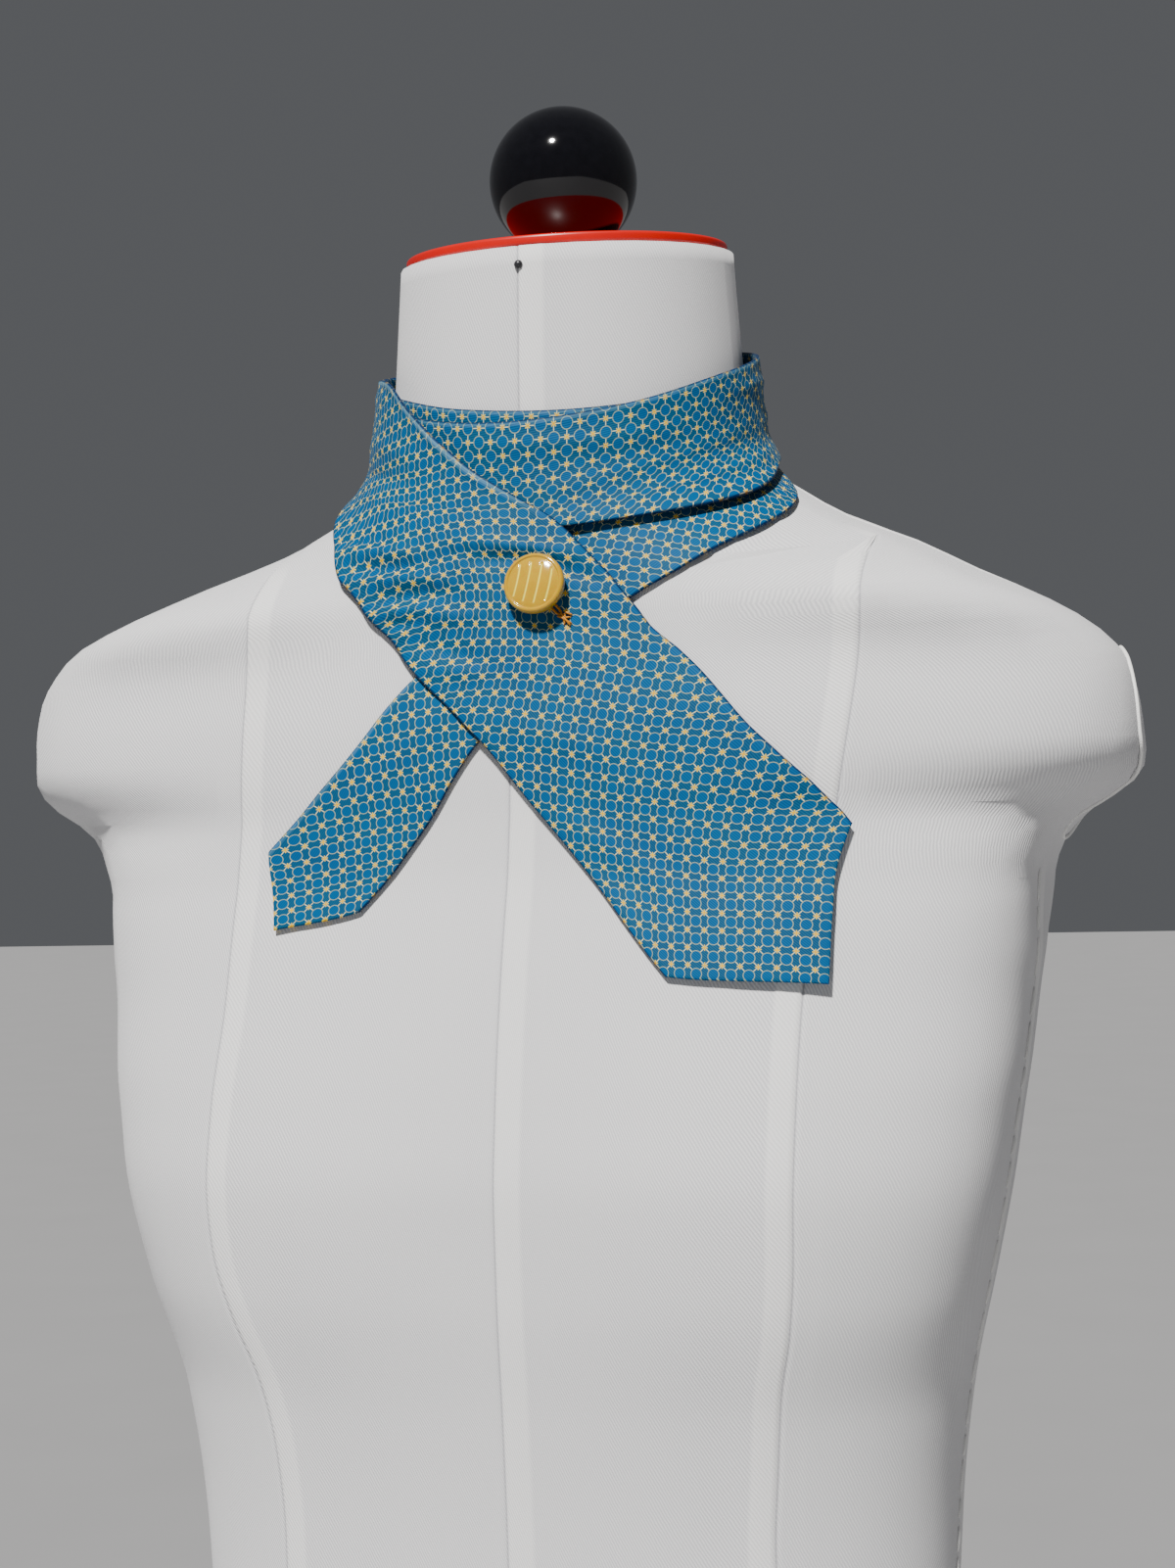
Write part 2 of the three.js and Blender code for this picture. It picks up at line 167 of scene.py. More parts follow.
# height, half_width, middle, front, rear, squareness, tilt, armpit, arm_lead
FORM_SECTIONS = [
    (0, 156, -30, -118, 72, 2.3, 0, 0, 0),
    (70, 161, -30, -121, 80, 2.3, 0, 0, 0),
    (140, 148, -34, -118, 68, 2.3, 0, 0, 0),
    (200, 133, -38, -114, 56, 2.3, 0, 0, 0),
    (260, 130, -40, -113, 51, 2.35, 0, 0, 0),
    (300, 132, -38, -113, 54, 2.4, 0, 0, 0),
    (340, 137, -38, -114, 60, 2.5, 0, 0, 0),
    (380, 146, -44, -116, 64, 2.8, 0, 0, 0),
    (410, 152.5, -46, -116, 67, 2.9, 0, 0, 0),
    (440, 157.3, -42, -112, 71, 2.9, 0, 0, 0),
    (480, 165.7, -31, -103, 76, 2.8, 0, 3.4, 0.6),
    (500, 177.3, -29, -97, 78, 2.7, 0, 14, 3.4),
    (514, 183.6, -28, -92.5, 78, 2.65, 0, 18.4, 4.2),
    (526, 189.4, -27.5, -90, 78, 2.65, 0, 16.2, -2.4),
    (534, 195.5, -27.5, -88.5, 78, 2.7, 0, 9.4, -10.5),
    (542, 199.4, -27.5, -87.5, 77, 2.75, 0, 2.9, -5.6),
    (552, 198.4, -28, -86, 76, 2.78, 0, 0, 0.7),
    (564, 197.3, -29, -84, 76, 2.78, 1, 0, 1.2),
    (578, 194, -30, -80.5, 75, 2.7, 2, 0, 2.5),
    (588, 186, -32, -78, 75, 2.65, 3.5, 0, 6),
    (598, 171, -36, -75.5, 74, 2.6, 5, 0, 13),
    (608, 148.5, -37, -73.5, 73, 2.5, 7, 0, 17),
    (618, 127, -33, -71.5, 71, 2.3, 9, 0, 6),
    (628, 101.5, -27, -70, 67, 2.15, 11, 0, 0),
    (638, 85, -20, -68.5, 62, 2.05, 12.5, 0, 0),
    (648, 71.5, -14, -67, 57, 2, 13.5, 0, 0),
    (662, 64.5, -9, -66, 53, 2, 14, 0, 0),
    (690, 62, -7, -65, 50, 2, 12, 0, 0),
    (712, 60.5, -6, -63, 50, 2, 8, 0, 0),
    (728, 59.5, -5, -61.3, 50.5, 2, 3.5, 0, 0),
]
# The seams: over the bust to the shoulder, given as how far each stands to the side; down
# the side and over the shoulder blade, as degrees round the form from the front.
SEAM_HEIGHTS = (0, 150, 300, 327, 350, 371, 393, 414, 439, 473, 501, 532, 558, 586, 606, 619, 728)
RIGHT_BUST = (96, 88, 81.2, 83, 87.5, 95.5, 101.5, 102.8, 101.9, 98.9, 98.2, 97.6, 97.2, 97.3,
              96.4, 97.3, 100)
LEFT_BUST = (96, 88, 84.6, 86.5, 88.8, 93, 95.2, 95.9, 96.6, 97.9, 101, 106.8, 111.3, 114.6,
             115.7, 114.6, 112)
SIDE_HEIGHTS = (0, 440, 500, 530, 560, 600, 640, 728)
SIDE_SEAM = (90.5, 90.5, 91, 94, 99, 102, 103, 103)
BLADE_SEAM = (138, 134, 131, 128, 126, 119, 114, 114)
# heights over which seams fade: the bust seams' top, the side seam below the arm, where it
# begins again over the arm, and its end on the neck
SEWN_TO, ARM_FROM, ARM_TO, NECK_FROM = (621, 630), (500, 515), (596, 606), (645, 660)
SEAM_COLUMNS = (0, 0.9, 2.2, 8.2, 9.6)
FULL_PANEL = 40
PANEL_COLUMNS = 6
ROW_PITCH = 5
SEAM_DEPTH = 0.5
ALLOWANCE_RISE = 0.28
HEM_HEIGHT, HEM_DEPTH, HEM_SPREAD = 14, 0.5, 3
TWILL_PITCH, TWILL_SLOPE, TWILL_WANDER = 1.03, 0.55, 0.7


def curve(xs, ys):
    """A smooth function through the points that never overshoots them."""
    last = len(xs) - 1
    chords = [(ys[i + 1] - ys[i]) / (xs[i + 1] - xs[i]) for i in range(last)]
    slopes = [chords[0]]
    for i in range(1, last):
        before, after = chords[i - 1], chords[i]
        if before * after <= 0:
            slopes.append(0)
            continue
        left, right = xs[i] - xs[i - 1], xs[i + 1] - xs[i]
        a, b = left + 2 * right, 2 * left + right
        slopes.append((a + b) / (a / before + b / after))
    slopes.append(chords[-1])

    def value(x):
        i = 0
        while i < last - 1 and x > xs[i + 1]:
            i += 1
        width = xs[i + 1] - xs[i]
        t = (x - xs[i]) / width
        rise = t * t * (3 - 2 * t)
        start = t * (1 - t) * (1 - t) * slopes[i]
        end = t * t * (t - 1) * slopes[i + 1]
        return ys[i] + rise * (ys[i + 1] - ys[i]) + width * (start + end)

    return value


form_columns = list(zip(*FORM_SECTIONS))
form_profile = [curve(form_columns[0], column) for column in form_columns[1:]]


def form_shape(height):
    """The section's measures at a height."""
    return [measure(height) for measure in form_profile]


def form_point(height, turn, scale=1.0, shape=None):
    """A point of the form's surface, or of a ring drawn in by the scale, in millimetres."""
    half_width, middle, front, rear, power, tilt, armpit, lead = shape or form_shape(height)
    sine, cosine = math.sin(math.radians(turn)), math.cos(math.radians(turn))
    depth = middle - front if cosine > 0 else rear - middle
    across = abs(sine / half_width) ** power + abs(cosine / depth) ** power
    side = abs(sine) ** ARM_SHARPNESS
    reach = scale * (across ** (-1 / power) - armpit * side)
    x, y = reach * sine, -reach * cosine - lead * side
    z = height + y * math.tan(math.radians(tilt))
    spread = (abs(x) - BUST_SIDE) ** 2 + (height - BUST_HEIGHT) ** 2
    bust = BUST_SWELL * math.exp(-spread / (2 * BUST_SPREAD ** 2))
    y += middle - (bust * cosine if cosine > 0 else 0)
    return Vector((x, y + FORM_FORWARD, z))


def form_normal(height, turn):
    """The direction out of the form at a point of its surface."""
    reach = 0.5
    upright = form_point(height + reach, turn) - form_point(height - reach, turn)
    shape = form_shape(height)
    level = form_point(height, turn + reach, 1, shape) - form_point(height, turn - reach, 1, shape)
    return level.cross(upright).normalized()


def lifted_point(height, turn, lift):
    return form_point(height, turn) + form_normal(height, turn) * lift


def fade(value, start, end):
    """Runs smoothly from 0 at start to 1 at end."""
    t = min(max((value - start) / (end - start), 0), 1)
    return t * t * (3 - 2 * t)


left_bust_at, right_bust_at = curve(SEAM_HEIGHTS, LEFT_BUST), curve(SEAM_HEIGHTS, RIGHT_BUST)
side_seam_at, blade_seam_at = curve(SIDE_HEIGHTS, SIDE_SEAM), curve(SIDE_HEIGHTS, BLADE_SEAM)


def turn_aside(height, aside):
    """The turn at which the front of a section stands so far to the side."""
    low, high = 5, 92
    shape = form_shape(height)
    for _ in range(24):
        middle = (low + high) / 2
        if form_point(height, middle, 1, shape).x < aside:
            low = middle
        else:
            high = middle
    return high


def form_seams(height):
    """Each seam's turn, how strongly it shows, and the side of its allowance."""
    left_bust = turn_aside(height, left_bust_at(height))
    right_bust = turn_aside(height, right_bust_at(height))
    side, blade = side_seam_at(height), blade_seam_at(height)
    sewn = 1 - fade(height, *SEWN_TO)
    beside = 1 - fade(height, *ARM_FROM) + fade(height, *ARM_TO) * (1 - fade(height, *NECK_FROM))
    rest = [(side, beside, 1), (blade, sewn, -1)]
    far = [(360 - turn, shown, -way) for turn, shown, way in reversed(rest)]
    return [(0, 1, 1), (left_bust, sewn, -1), *rest, (180, 1, 1), *far,
            (360 - right_bust, sewn, 1), (360, 1, 1)]


def form_row(height):
    """The row's columns: turn, sunk depth, seam line, allowance, distance over the panel."""
    shape = form_shape(height)
    seams = form_seams(height)
    row = []

    def pace(turn):
        step = form_point(height, turn + 1, 1, shape) - form_point(height, turn - 1, 1, shape)
        return step.length / 2

    for (start, start_shown, start_way), (end, end_shown, end_way) in zip(seams, seams[1:]):
        width = (end - start) * (pace(start) + pace((start + end) / 2) + pace(end)) / 3
        squeeze = min(1, width / FULL_PANEL)
        near = [squeeze * column for column in SEAM_COLUMNS]
        opening = [start + step / pace(start) for step in near]
        closing = [end - step / pace(end) for step in near[:0:-1]]
        first, last = opening[-1], closing[0]
        inner = [first + (last - first) * k / (PANEL_COLUMNS + 1)
                 for k in range(1, PANEL_COLUMNS + 1)]
        turns = opening + inner + closing
        for k, turn in enumerate(turns):
            beside_start, beside_end = k < len(near), k >= len(opening + inner)
            index = k if beside_start else len(turns) - k
            shown, way = (start_shown, start_way) if beside_start else (end_shown, -end_way)
            line = shown if beside_start and k == 0 else 0
            banded = (beside_start or beside_end) and way > 0 and 0 < index < 4
            band = shown if banded else 0
            row.append((turn, SEAM_DEPTH * line - ALLOWANCE_RISE * band, line, band,
                        (turn - (start + end) / 2) * width / (end - start)))
    return shape, row


cover_cloth, tree, shader = new_material("cover_twill")
cloth_place = add_node(tree, "ShaderNodeUVMap", {"uv_map": "cloth"}).outputs["UV"]


def calculate(tree, operation, first, second=0.0, third=0.0, clamp=False):
    """One Math node's output."""
    made = add_node(tree, "ShaderNodeMath", {"operation": operation, "use_clamp": clamp})
    for socket, value in zip(made.inputs, (first, second, third)):
        feed(tree, socket, value)
    return made.outputs[0]


def painted(tree, name):
    """What the mesh's own attribute says at a place."""
    return add_node(tree, "ShaderNodeAttribute", {"attribute_name": name}).outputs["Fac"]


def ribs(tree, coordinate, pitch):
    """A wave of fine lines, from 0 to 1, every pitch of the coordinate."""
    phase = calculate(tree, "MULTIPLY", coordinate, 2 * math.pi / pitch)
    return calculate(tree, "MULTIPLY_ADD", calculate(tree, "SINE", phase), 0.5, 0.5)


def add_bump(tree, shader, height, strength, distance):
    bump = add_node(tree, "ShaderNodeBump", Height=height, Strength=strength, Distance=distance)
    link(tree, bump.outputs["Normal"], shader, "Normal")


TWILL_LIGHT = (0.90, 0.90, 0.90, 1)
TWILL_DARK = (0.56, 0.56, 0.59, 1)
ALLOWANCE_LIGHT = (0.97, 0.965, 0.95, 1)
SEAM_SHADE = (0.30, 0.30, 0.33, 1)
SOIL_TINT = (0.76, 0.755, 0.75, 1)
split = add_node(tree, "ShaderNodeSeparateXYZ", Vector=cloth_place)
slanted = calculate(tree, "MULTIPLY_ADD", split.outputs["Y"], TWILL_SLOPE, split.outputs["X"])
slub = noise(tree, cloth_place, 0.25)
wander = calculate(tree, "MULTIPLY_ADD", slub, TWILL_WANDER, slanted)
twill = ribs(tree, wander, TWILL_PITCH)
nap = noise(tree, cloth_place, 2.6, 4.0)
cloud = noise(tree, cloth_place, 0.03)
speck = calculate(tree, "MULTIPLY", twill, nap)
speck = calculate(tree, "MULTIPLY_ADD", speck, 1.3, 0.1, clamp=True)
yarn = mix_colours(tree, speck, TWILL_DARK, TWILL_LIGHT)
soil = calculate(tree, "MULTIPLY_ADD", cloud, 0.5, -0.12, clamp=True)
yarn = mix_colours(tree, soil, yarn, SOIL_TINT)
band_share = calculate(tree, "MULTIPLY", painted(tree, "allowance"), 0.5)
yarn = mix_colours(tree, band_share, yarn, ALLOWANCE_LIGHT)
# painted shade: the seam lines, sunk as grooves, are mixed towards a dark grey
line_share = calculate(tree, "POWER", painted(tree, "seam_line"), 2.2)
line_share = calculate(tree, "MULTIPLY", line_share, 0.75)
yarn = mix_colours(tree, line_share, yarn, SEAM_SHADE)
link(tree, yarn, shader, "Base Color")
shader.inputs["Roughness"].default_value = 0.9
shader.inputs["Specular IOR Level"].default_value = 0.2
shader.inputs["Sheen Weight"].default_value = 0.15
shader.inputs["Sheen Roughness"].default_value = 0.6
relief = calculate(tree, "MULTIPLY_ADD", nap, 0.8, twill)
add_bump(tree, shader, relief, 0.6, 0.00016)

row_count = round(NECK_TOP / ROW_PITCH)
form_rows = [form_row(min(NECK_TOP, NECK_TOP * k / row_count)) for k in range(row_count + 1)]
column_count = len(form_rows[0][1])
bm = bmesh.new()
bmesh.ops.create_grid(bm, x_segments=column_count, y_segments=row_count, size=1)
seam_layer = bm.verts.layers.float.new("seam_line")
allowance_layer = bm.verts.layers.float.new("allowance")
uv_layer = bm.loops.layers.uv.new("cloth")


def grid_place(vert, columns, rows):
    """The column and row of a vertex of a fresh grid."""
    return round((vert.co.x + 1) / 2 * columns), round((vert.co.y + 1) / 2 * rows)


def close_up(bm):
    """Merges doubled vertices, fills open ends and turns the faces outwards."""
    bmesh.ops.remove_doubles(bm, verts=bm.verts, dist=1e-6)
    open_edges = [edge for edge in bm.edges if edge.is_boundary]
    bmesh.ops.holes_fill(bm, edges=open_edges, sides=0)
    bmesh.ops.recalc_face_normals(bm, faces=bm.faces)


places = {vert: grid_place(vert, column_count, row_count) for vert in bm.verts}
for face in bm.faces:
    left = min(places[loop.vert][0] for loop in face.loops)
    for loop in face.loops:
        column, k = places[loop.vert]
        row = form_rows[k][1]
        across, across_left = row[column % column_count][4], row[left][4]
        if column != left and across < 0 < across_left:
            across = across_left + (across_left - row[left - 1][4])
        loop[uv_layer].uv = (across, NECK_TOP * k / row_count)
for vert, (column, k) in places.items():
    height = NECK_TOP * k / row_count
    shape, row = form_rows[k]
    turn, sunk, line, band, across = row[column % column_count]
    hem = HEM_DEPTH * math.exp(-((height - HEM_HEIGHT) / HEM_SPREAD) ** 2)
    out = form_normal(min(height, NECK_TOP - 0.5), turn)
    vert.co = (form_point(height, turn, 1, shape) - out * (sunk + hem)) * MM
    vert[seam_layer] = line
    vert[allowance_layer] = band
close_up(bm)
for vert in bm.verts:
    vert.co.z = max(vert.co.z, 0)
form = finish_mesh("form_cover", bm, cover_cloth)
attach(form, "root")
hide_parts("dress_form")

# The side seam's sewing. The cover is closed by hand down one side with a waxed white cotton
# thread, in long running stitches of uneven length.
THREAD_HALF = 0.7
STITCH_TOP, STITCH_END = 511, 6
STITCH_LENGTHS = (11, 8, 13, 9.5, 12, 7, 10.5, 6, 8.5, 12.5)
STITCH_GAP, STITCH_UNEVEN = 1.6, 0.7
STITCH_TURN, STITCH_LEAN, STITCH_LIFT = 89.6, 0.25, 0.3
THREAD_SHADE, THREAD_LIGHT = (0.78, 0.78, 0.76, 1), (0.95, 0.95, 0.93, 1)
THREAD_STRAND = 0.0006


def twisted(tree, aside, pitch):
    """A thread's strands, as fine lines that slant between upright and another axis."""
    split = add_node(tree, "ShaderNodeSeparateXYZ", Vector=object_place(tree))
    return ribs(tree, calculate(tree, "ADD", split.outputs["Z"], split.outputs[aside]), pitch)


thread_cotton, tree, shader = new_material("white_thread")
strands = twisted(tree, "Y", THREAD_STRAND)
link(tree, mix_colours(tree, strands, THREAD_SHADE, THREAD_LIGHT), shader, "Base Color")
shader.inputs["Roughness"].default_value = 0.6
add_bump(tree, shader, strands, 0.5, 0.0001)

bm = bmesh.new()
top, stitch = STITCH_TOP, 0
while top > STITCH_END:
    length = STITCH_LENGTHS[stitch % len(STITCH_LENGTHS)]
    ends = [lifted_point(max(height, 1), STITCH_TURN + side, STITCH_LIFT)
            for height, side in ((top, STITCH_LEAN), (top - length, -STITCH_LEAN))]
    along = ends[1] - ends[0]
    made = bmesh.ops.create_uvsphere(bm, u_segments=8, v_segments=7, radius=1)["verts"]
    scale = Matrix.Diagonal((THREAD_HALF, THREAD_HALF, along.length / 2, 1))
    turn_to = along.to_track_quat("Z", "Y").to_matrix().to_4x4()
    middle = Matrix.Translation((ends[0] + ends[1]) / 2)
    bmesh.ops.transform(bm, verts=made, matrix=Matrix.Scale(MM, 4) @ middle @ turn_to @ scale)
    top -= length + STITCH_GAP + STITCH_UNEVEN * (stitch % 3)
    stitch += 1
stitches = finish_mesh("side_stitches", bm, thread_cotton)
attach(stitches, "root")

# The arm seams. At each cut arm the cover is sewn to an oval end piece, and the turned seam
# stands up as a narrow rolled lip.
ARM_MIDDLE, ARM_TURN, ARM_HALF_HEIGHT, ARM_HALF_TURN = 551, 97.5, 31, 9.5
LIP_HALF, LIP_LIFT, LIP_SIDES, LIP_STEPS = 0.6, 0.3, 10, 90


def tube(points, half, sides, closed=False):
    """A round cord along points in millimetres, as a bmesh in metres."""
    made = bmesh.new()
    steps = len(points) if closed else len(points) - 1
    bmesh.ops.create_grid(made, x_segments=sides, y_segments=steps, size=1)
    count = len(points)
    rings = []
    for k in range(steps + 1):
        before = points[(k - 1) % count if closed else max(k - 1, 0)]
        after = points[(k + 1) % count if closed else min(k + 1, count - 1)]
        along = (after - before).normalized()
        aside = along.cross(Vector((0.13, 0.21, 0.97))).normalized()
        rings.append((points[k % count], aside, along.cross(aside)))
    for vert in made.verts:
        column, k = grid_place(vert, sides, steps)
        point, aside, over = rings[k]
        angle = 2 * math.pi * column / sides
        spread = half * (1 if closed or 0 < k < steps else 0.3)
        vert.co = (point + spread * (aside * math.cos(angle) + over * math.sin(angle))) * MM
    close_up(made)
    return made


for name, way in (("arm_seam_left", 1), ("arm_seam_right", -1)):
    path = []
    for k in range(LIP_STEPS):
        angle = 2 * math.pi * k / LIP_STEPS
        height = ARM_MIDDLE + ARM_HALF_HEIGHT * math.cos(angle)
        turn = way * (ARM_TURN + ARM_HALF_TURN * math.sin(angle))
        path.append(lifted_point(height, turn, LIP_LIFT))
    lip = finish_mesh(name, tube(path, LIP_HALF, LIP_SIDES, closed=True), thread_cotton)
    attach(lip, "root")

# The silk strip. One long narrow strip of printed silk twill, folded double with soft
# rolled edges and two pointed ends, wound round the neck and crossed over the chest.
WALL = 1.4
ROUND = WALL / 2
# upper_turn, upper_height, upper_lift, lower_turn, lower_height, lower_lift, belly
STRIP_SECTIONS = [
    (-59, 507.3, 0.9, -43, 487.8, 0.9, 0),
    (-55, 523.7, 0.9, -36.6, 503.3, 0.9, 0),
    (-45.6, 551.9, 0.9, -25.5, 528, 0.9, 0),
    (-35.3, 581.3, 0.9, -10.1, 558, 0.9, 0),
    (-13, 612, 0.9, 18, 586, 0.9, 0),
    (20, 640, 0.9, 49.8, 609, 0.9, 0),
    (53, 657, 0.9, 65, 626.5, 0.9, 0),
    (82, 671, 0.9, 86, 637.5, 0.9, 0),
    (122, 680, 0.9, 122, 648, 0.9, 0),
    (180, 685, 0.9, 180, 650, 0.9, 0),
    (240, 687.5, 0.9, 240, 650, 0.9, 0),
    (300, 687, 0.9, 300, 650, 0.9, 0),
    (340, 683, 1.5, 340, 644, 1.5, 0),
    (380, 680.5, 2.6, 380, 641.5, 2.6, 0),
    (420, 681.5, 2.85, 420, 642.5, 2.95, 0),
    (470, 686, 2.8, 470, 649, 2.85, 0),
    (540, 689, 2.7, 540, 650, 2.7, 0),
    (600, 690.5, 2.7, 600, 651, 2.7, 0),
    (650, 686, 2.7, 650, 647, 2.7, 0),
    (685, 680, 3.4, 685, 640.5, 3.4, 0),
    (720, 678, 4.3, 720, 637.5, 4.3, 0),
    (755, 680.3, 4.5, 755, 637.6, 4.5, 0.2),
    (790, 686, 4.65, 790, 639.4, 4.75, 0.3),
    (830, 690, 4.6, 830, 649.5, 4.65, 0.2),
    (900, 692, 4.5, 900, 649, 4.5, 0.3),
    (955, 692.5, 4.5, 950, 648, 4.5, 0.6),
    (1002, 692, 4.6, 980, 647.5, 4.5, 1),
    (1027, 691.5, 5, 1001, 643, 4.3, 2),
    (1041, 683, 5.6, 1014, 632.5, 3.7, 2.8),
    (1055, 672, 6.1, 1019.2, 616.5, 2.8, 3.4),
    (1069, 660.5, 6.3, 1025.5, 603.5, 2, 3.4),
    (1087.5, 646.5, 6.6, 1037, 591.5, 2, 3.2),
    (1104, 632.5, 5.6, 1048.5, 579, 2.7, 2.4),
    (1125.5, 610.6, 3.4, 1063, 565.5, 2.8, 1.2),
    (1131, 590, 2, 1079, 548, 2.4, 0.7),
    (1136.5, 558, 1.4, 1102.5, 515.5, 1.3, 0.3),
    (1144, 528, 2, 1117.8, 481.4, 1.2, 0),
    (1148.5, 500, 5, 1129, 456, 1.2, 0),
]
POINT_BLEND = 2
STRIP_LAST = len(STRIP_SECTIONS) - 1
STRIP_STEP = 1.8
STRIP_CELLS = 34
EDGE_CELLS = 4
END_TURNS = (30, 60, 90)
# how strong the painted highlight along the upper edge is on the turns, and the rows where the
# blade's painted highlight is stronger
EDGE_HIGHLIGHT_TURNS, EDGE_HIGHLIGHT_FROM, EDGE_HIGHLIGHT_TO = 0.4, (24, 25.5), (29.5, 31.5)


def strip_values(row):
    """Every column of the strip's table at a row, smoothly between its rows."""
    i = min(int(row), STRIP_LAST - 1)
    t = row - i
    before, here, after, beyond = (
        STRIP_SECTIONS[min(max(k, 0), STRIP_LAST)] for k in (i - 1, i, i + 1, i + 2))
    rise = t * t * (3 - 2 * t)
    values = []
    for p, a, b, n in zip(before, here, after, beyond):
        slope_a = b - a if i == 0 else (b - p) / 2
        slope_b = b - a if i == STRIP_LAST - 1 else (n - a) / 2
        values.append(a + rise * (b - a) + t * (1 - t) * ((1 - t) * slope_a - t * slope_b))
    return values


def strip_place(row, across):
    """Height, turn and lift of the strip's inner face."""
    up_turn, up_height, up_lift, low_turn, low_height, low_lift, belly = strip_values(row)
    lift = up_lift + (low_lift - up_lift) * across + belly * math.sin(math.pi * across)
    return (up_height + (low_height - up_height) * across,
            up_turn + (low_turn - up_turn) * across, lift)


def pointed_row(row, across):
    """The row at which one line of the strip ends, so that each end comes to a right angle."""
    aside = abs(2 * across - 1)
    if row < POINT_BLEND:
        return row + aside * (1 - row / POINT_BLEND)
    if row > STRIP_LAST - POINT_BLEND:
        return row - aside * (1 - (STRIP_LAST - row) / POINT_BLEND)
    return row


def measured_strip():
    """The strip's length up to each quarter row, and its width there."""
    rows = [k / 4 for k in range(4 * STRIP_LAST + 1)]
    lengths, widths = [], []
    total, previous = 0, None
    for row in rows:
        line = [lifted_point(*strip_place(row, across)) for across in (0, 0.25, 0.5, 0.75, 1)]
        total += (line[2] - previous).length if previous else 0
        previous = line[2]
        lengths.append(total)
        widths.append(sum((b - a).length for a, b in zip(line, line[1:])))
    return rows, lengths, widths


strip_rows, strip_lengths, strip_widths = measured_strip()
length_at = curve(strip_rows, strip_lengths)
width_at = curve(strip_rows, strip_widths)
row_at = curve(strip_lengths, strip_rows)

# The strip's main creases: where each starts and ends, as row and place across from the
# upper edge, its half width and its height in millimetres, below nought for a trough.
CREASES = [
    # drawn towards the button from the blade's outer edge
    (28.0, 1.00, 29.4, 0.62, 1.5, -1.3),
    (28.3, 1.00, 29.9, 0.60, 2.0, 1.8),
    (28.6, 1.01, 30.0, 0.66, 1.4, -1.6),
    (29.3, 0.90, 31.0, 0.34, 1.5, -0.9),
    (28.9, 1.00, 30.7, 0.62, 2.1, 1.9),
    (29.5, 1.00, 31.1, 0.64, 1.4, -1.7),
    (29.8, 1.00, 31.3, 0.74, 1.9, 1.8),
    (30.2, 1.00, 31.2, 0.82, 1.4, -1.3),
    (30.8, 1.00, 32.6, 0.72, 1.6, -1.2),
    (30.5, 1.00, 31.9, 0.60, 2.2, 1.2),
    (31.6, 1.00, 32.7, 0.78, 2.0, 0.9),
    # the pocket that the button pulls up above itself
    (30.7, 0.52, 32.0, 0.16, 1.5, -1.7),
    (31.55, 0.24, 32.9, 0.02, 1.5, -1.7),
    (30.3, 0.46, 32.4, 0.02, 2.0, 2.2),
    (32.9, 0.14, 33.6, 0.34, 2.4, -0.5),
    # the blade's upper edge, rolled up where it crosses the turn below
    (24.6, 0.03, 31.4, 0.025, 1.7, 1.3),
    # soft ripples where the blade turns in from the neck
    (26.4, 0.62, 28.9, 0.14, 2.8, 0.7),
    (26.7, 0.86, 29.3, 0.22, 2.4, -0.7),
    (27.1, 0.96, 29.6, 0.34, 2.8, 0.7),
    (27.5, 1.02, 29.5, 0.52, 2.2, -0.8),
    (25.2, 0.30, 27.6, 0.10, 2.6, 0.5),
    (25.0, 0.72, 26.9, 0.50, 3.0, -0.5),
    # the blade's flat end
    (33.2, 0.92, 34.6, 0.50, 5.0, 0.5),
    (33.6, 0.12, 35.0, 0.44, 6.0, -0.5),
    (34.4, 0.96, 35.8, 0.66, 4.5, 0.6),
    (35.2, 0.10, 36.6, 0.34, 5.0, 0.6),
    # the narrow end
    (1.4, 0.30, 3.6, 0.56, 5.0, 0.5),
    (2.6, 0.86, 4.9, 0.54, 3.5, -0.4),
    (0.8, 0.74, 2.0, 0.50, 4.0, 0.5),
    # the turn that shows over the shoulder, and the turns round the back
    (4.9, 0.20, 6.8, 0.52, 4.0, 0.5),
    (6.3, 0.84, 8.9, 0.60, 3.4, 0.5),
    (19.3, 0.18, 21.6, 0.30, 3.0, 0.7),
    (20.0, 0.62, 22.4, 0.44, 3.4, 0.5),
    (20.9, 0.82, 23.0, 0.90, 2.4, 0.6),
    (21.9, 0.12, 23.2, 0.34, 2.2, 0.8),
    (22.5, 0.52, 23.9, 0.66, 2.6, 0.9),
    (23.1, 0.24, 24.3, 0.40, 2.0, 0.6),
    (23.6, 0.86, 24.8, 0.70, 2.4, 0.8),
    (24.0, 0.16, 25.3, 0.10, 2.2, 0.7),
    (24.3, 0.48, 25.4, 0.56, 3.0, 0.6),
    (18.2, 0.70, 19.8, 0.82, 2.8, 0.5),
]
CREASE_MARGIN = 40


def crease_height(u, v, creases):
    """How far the creases lift or sink the cloth at a place, in millimetres."""
    total = 0
    for start, end, half_width, height in creases:
        along = end - start
        t = ((u - start.x) * along.x + (v - start.y) * along.y) / along.length_squared
        if not 0 < t < 1:
            continue
        away = abs((u - start.x) * along.y - (v - start.y) * along.x) / along.length
        if away < 3 * half_width:
            total += height * math.sin(math.pi * t) ** 0.7 * math.exp(-(away / half_width) ** 2)
    return total


flat_creases = []
for row_a, across_a, row_b, across_b, half_width, height in CREASES:
    start = Vector((length_at(row_a), (across_a - 0.5) * width_at(row_a)))
    end = Vector((length_at(row_b), (across_b - 0.5) * width_at(row_b)))
    flat_creases.append((start, end, half_width, height))

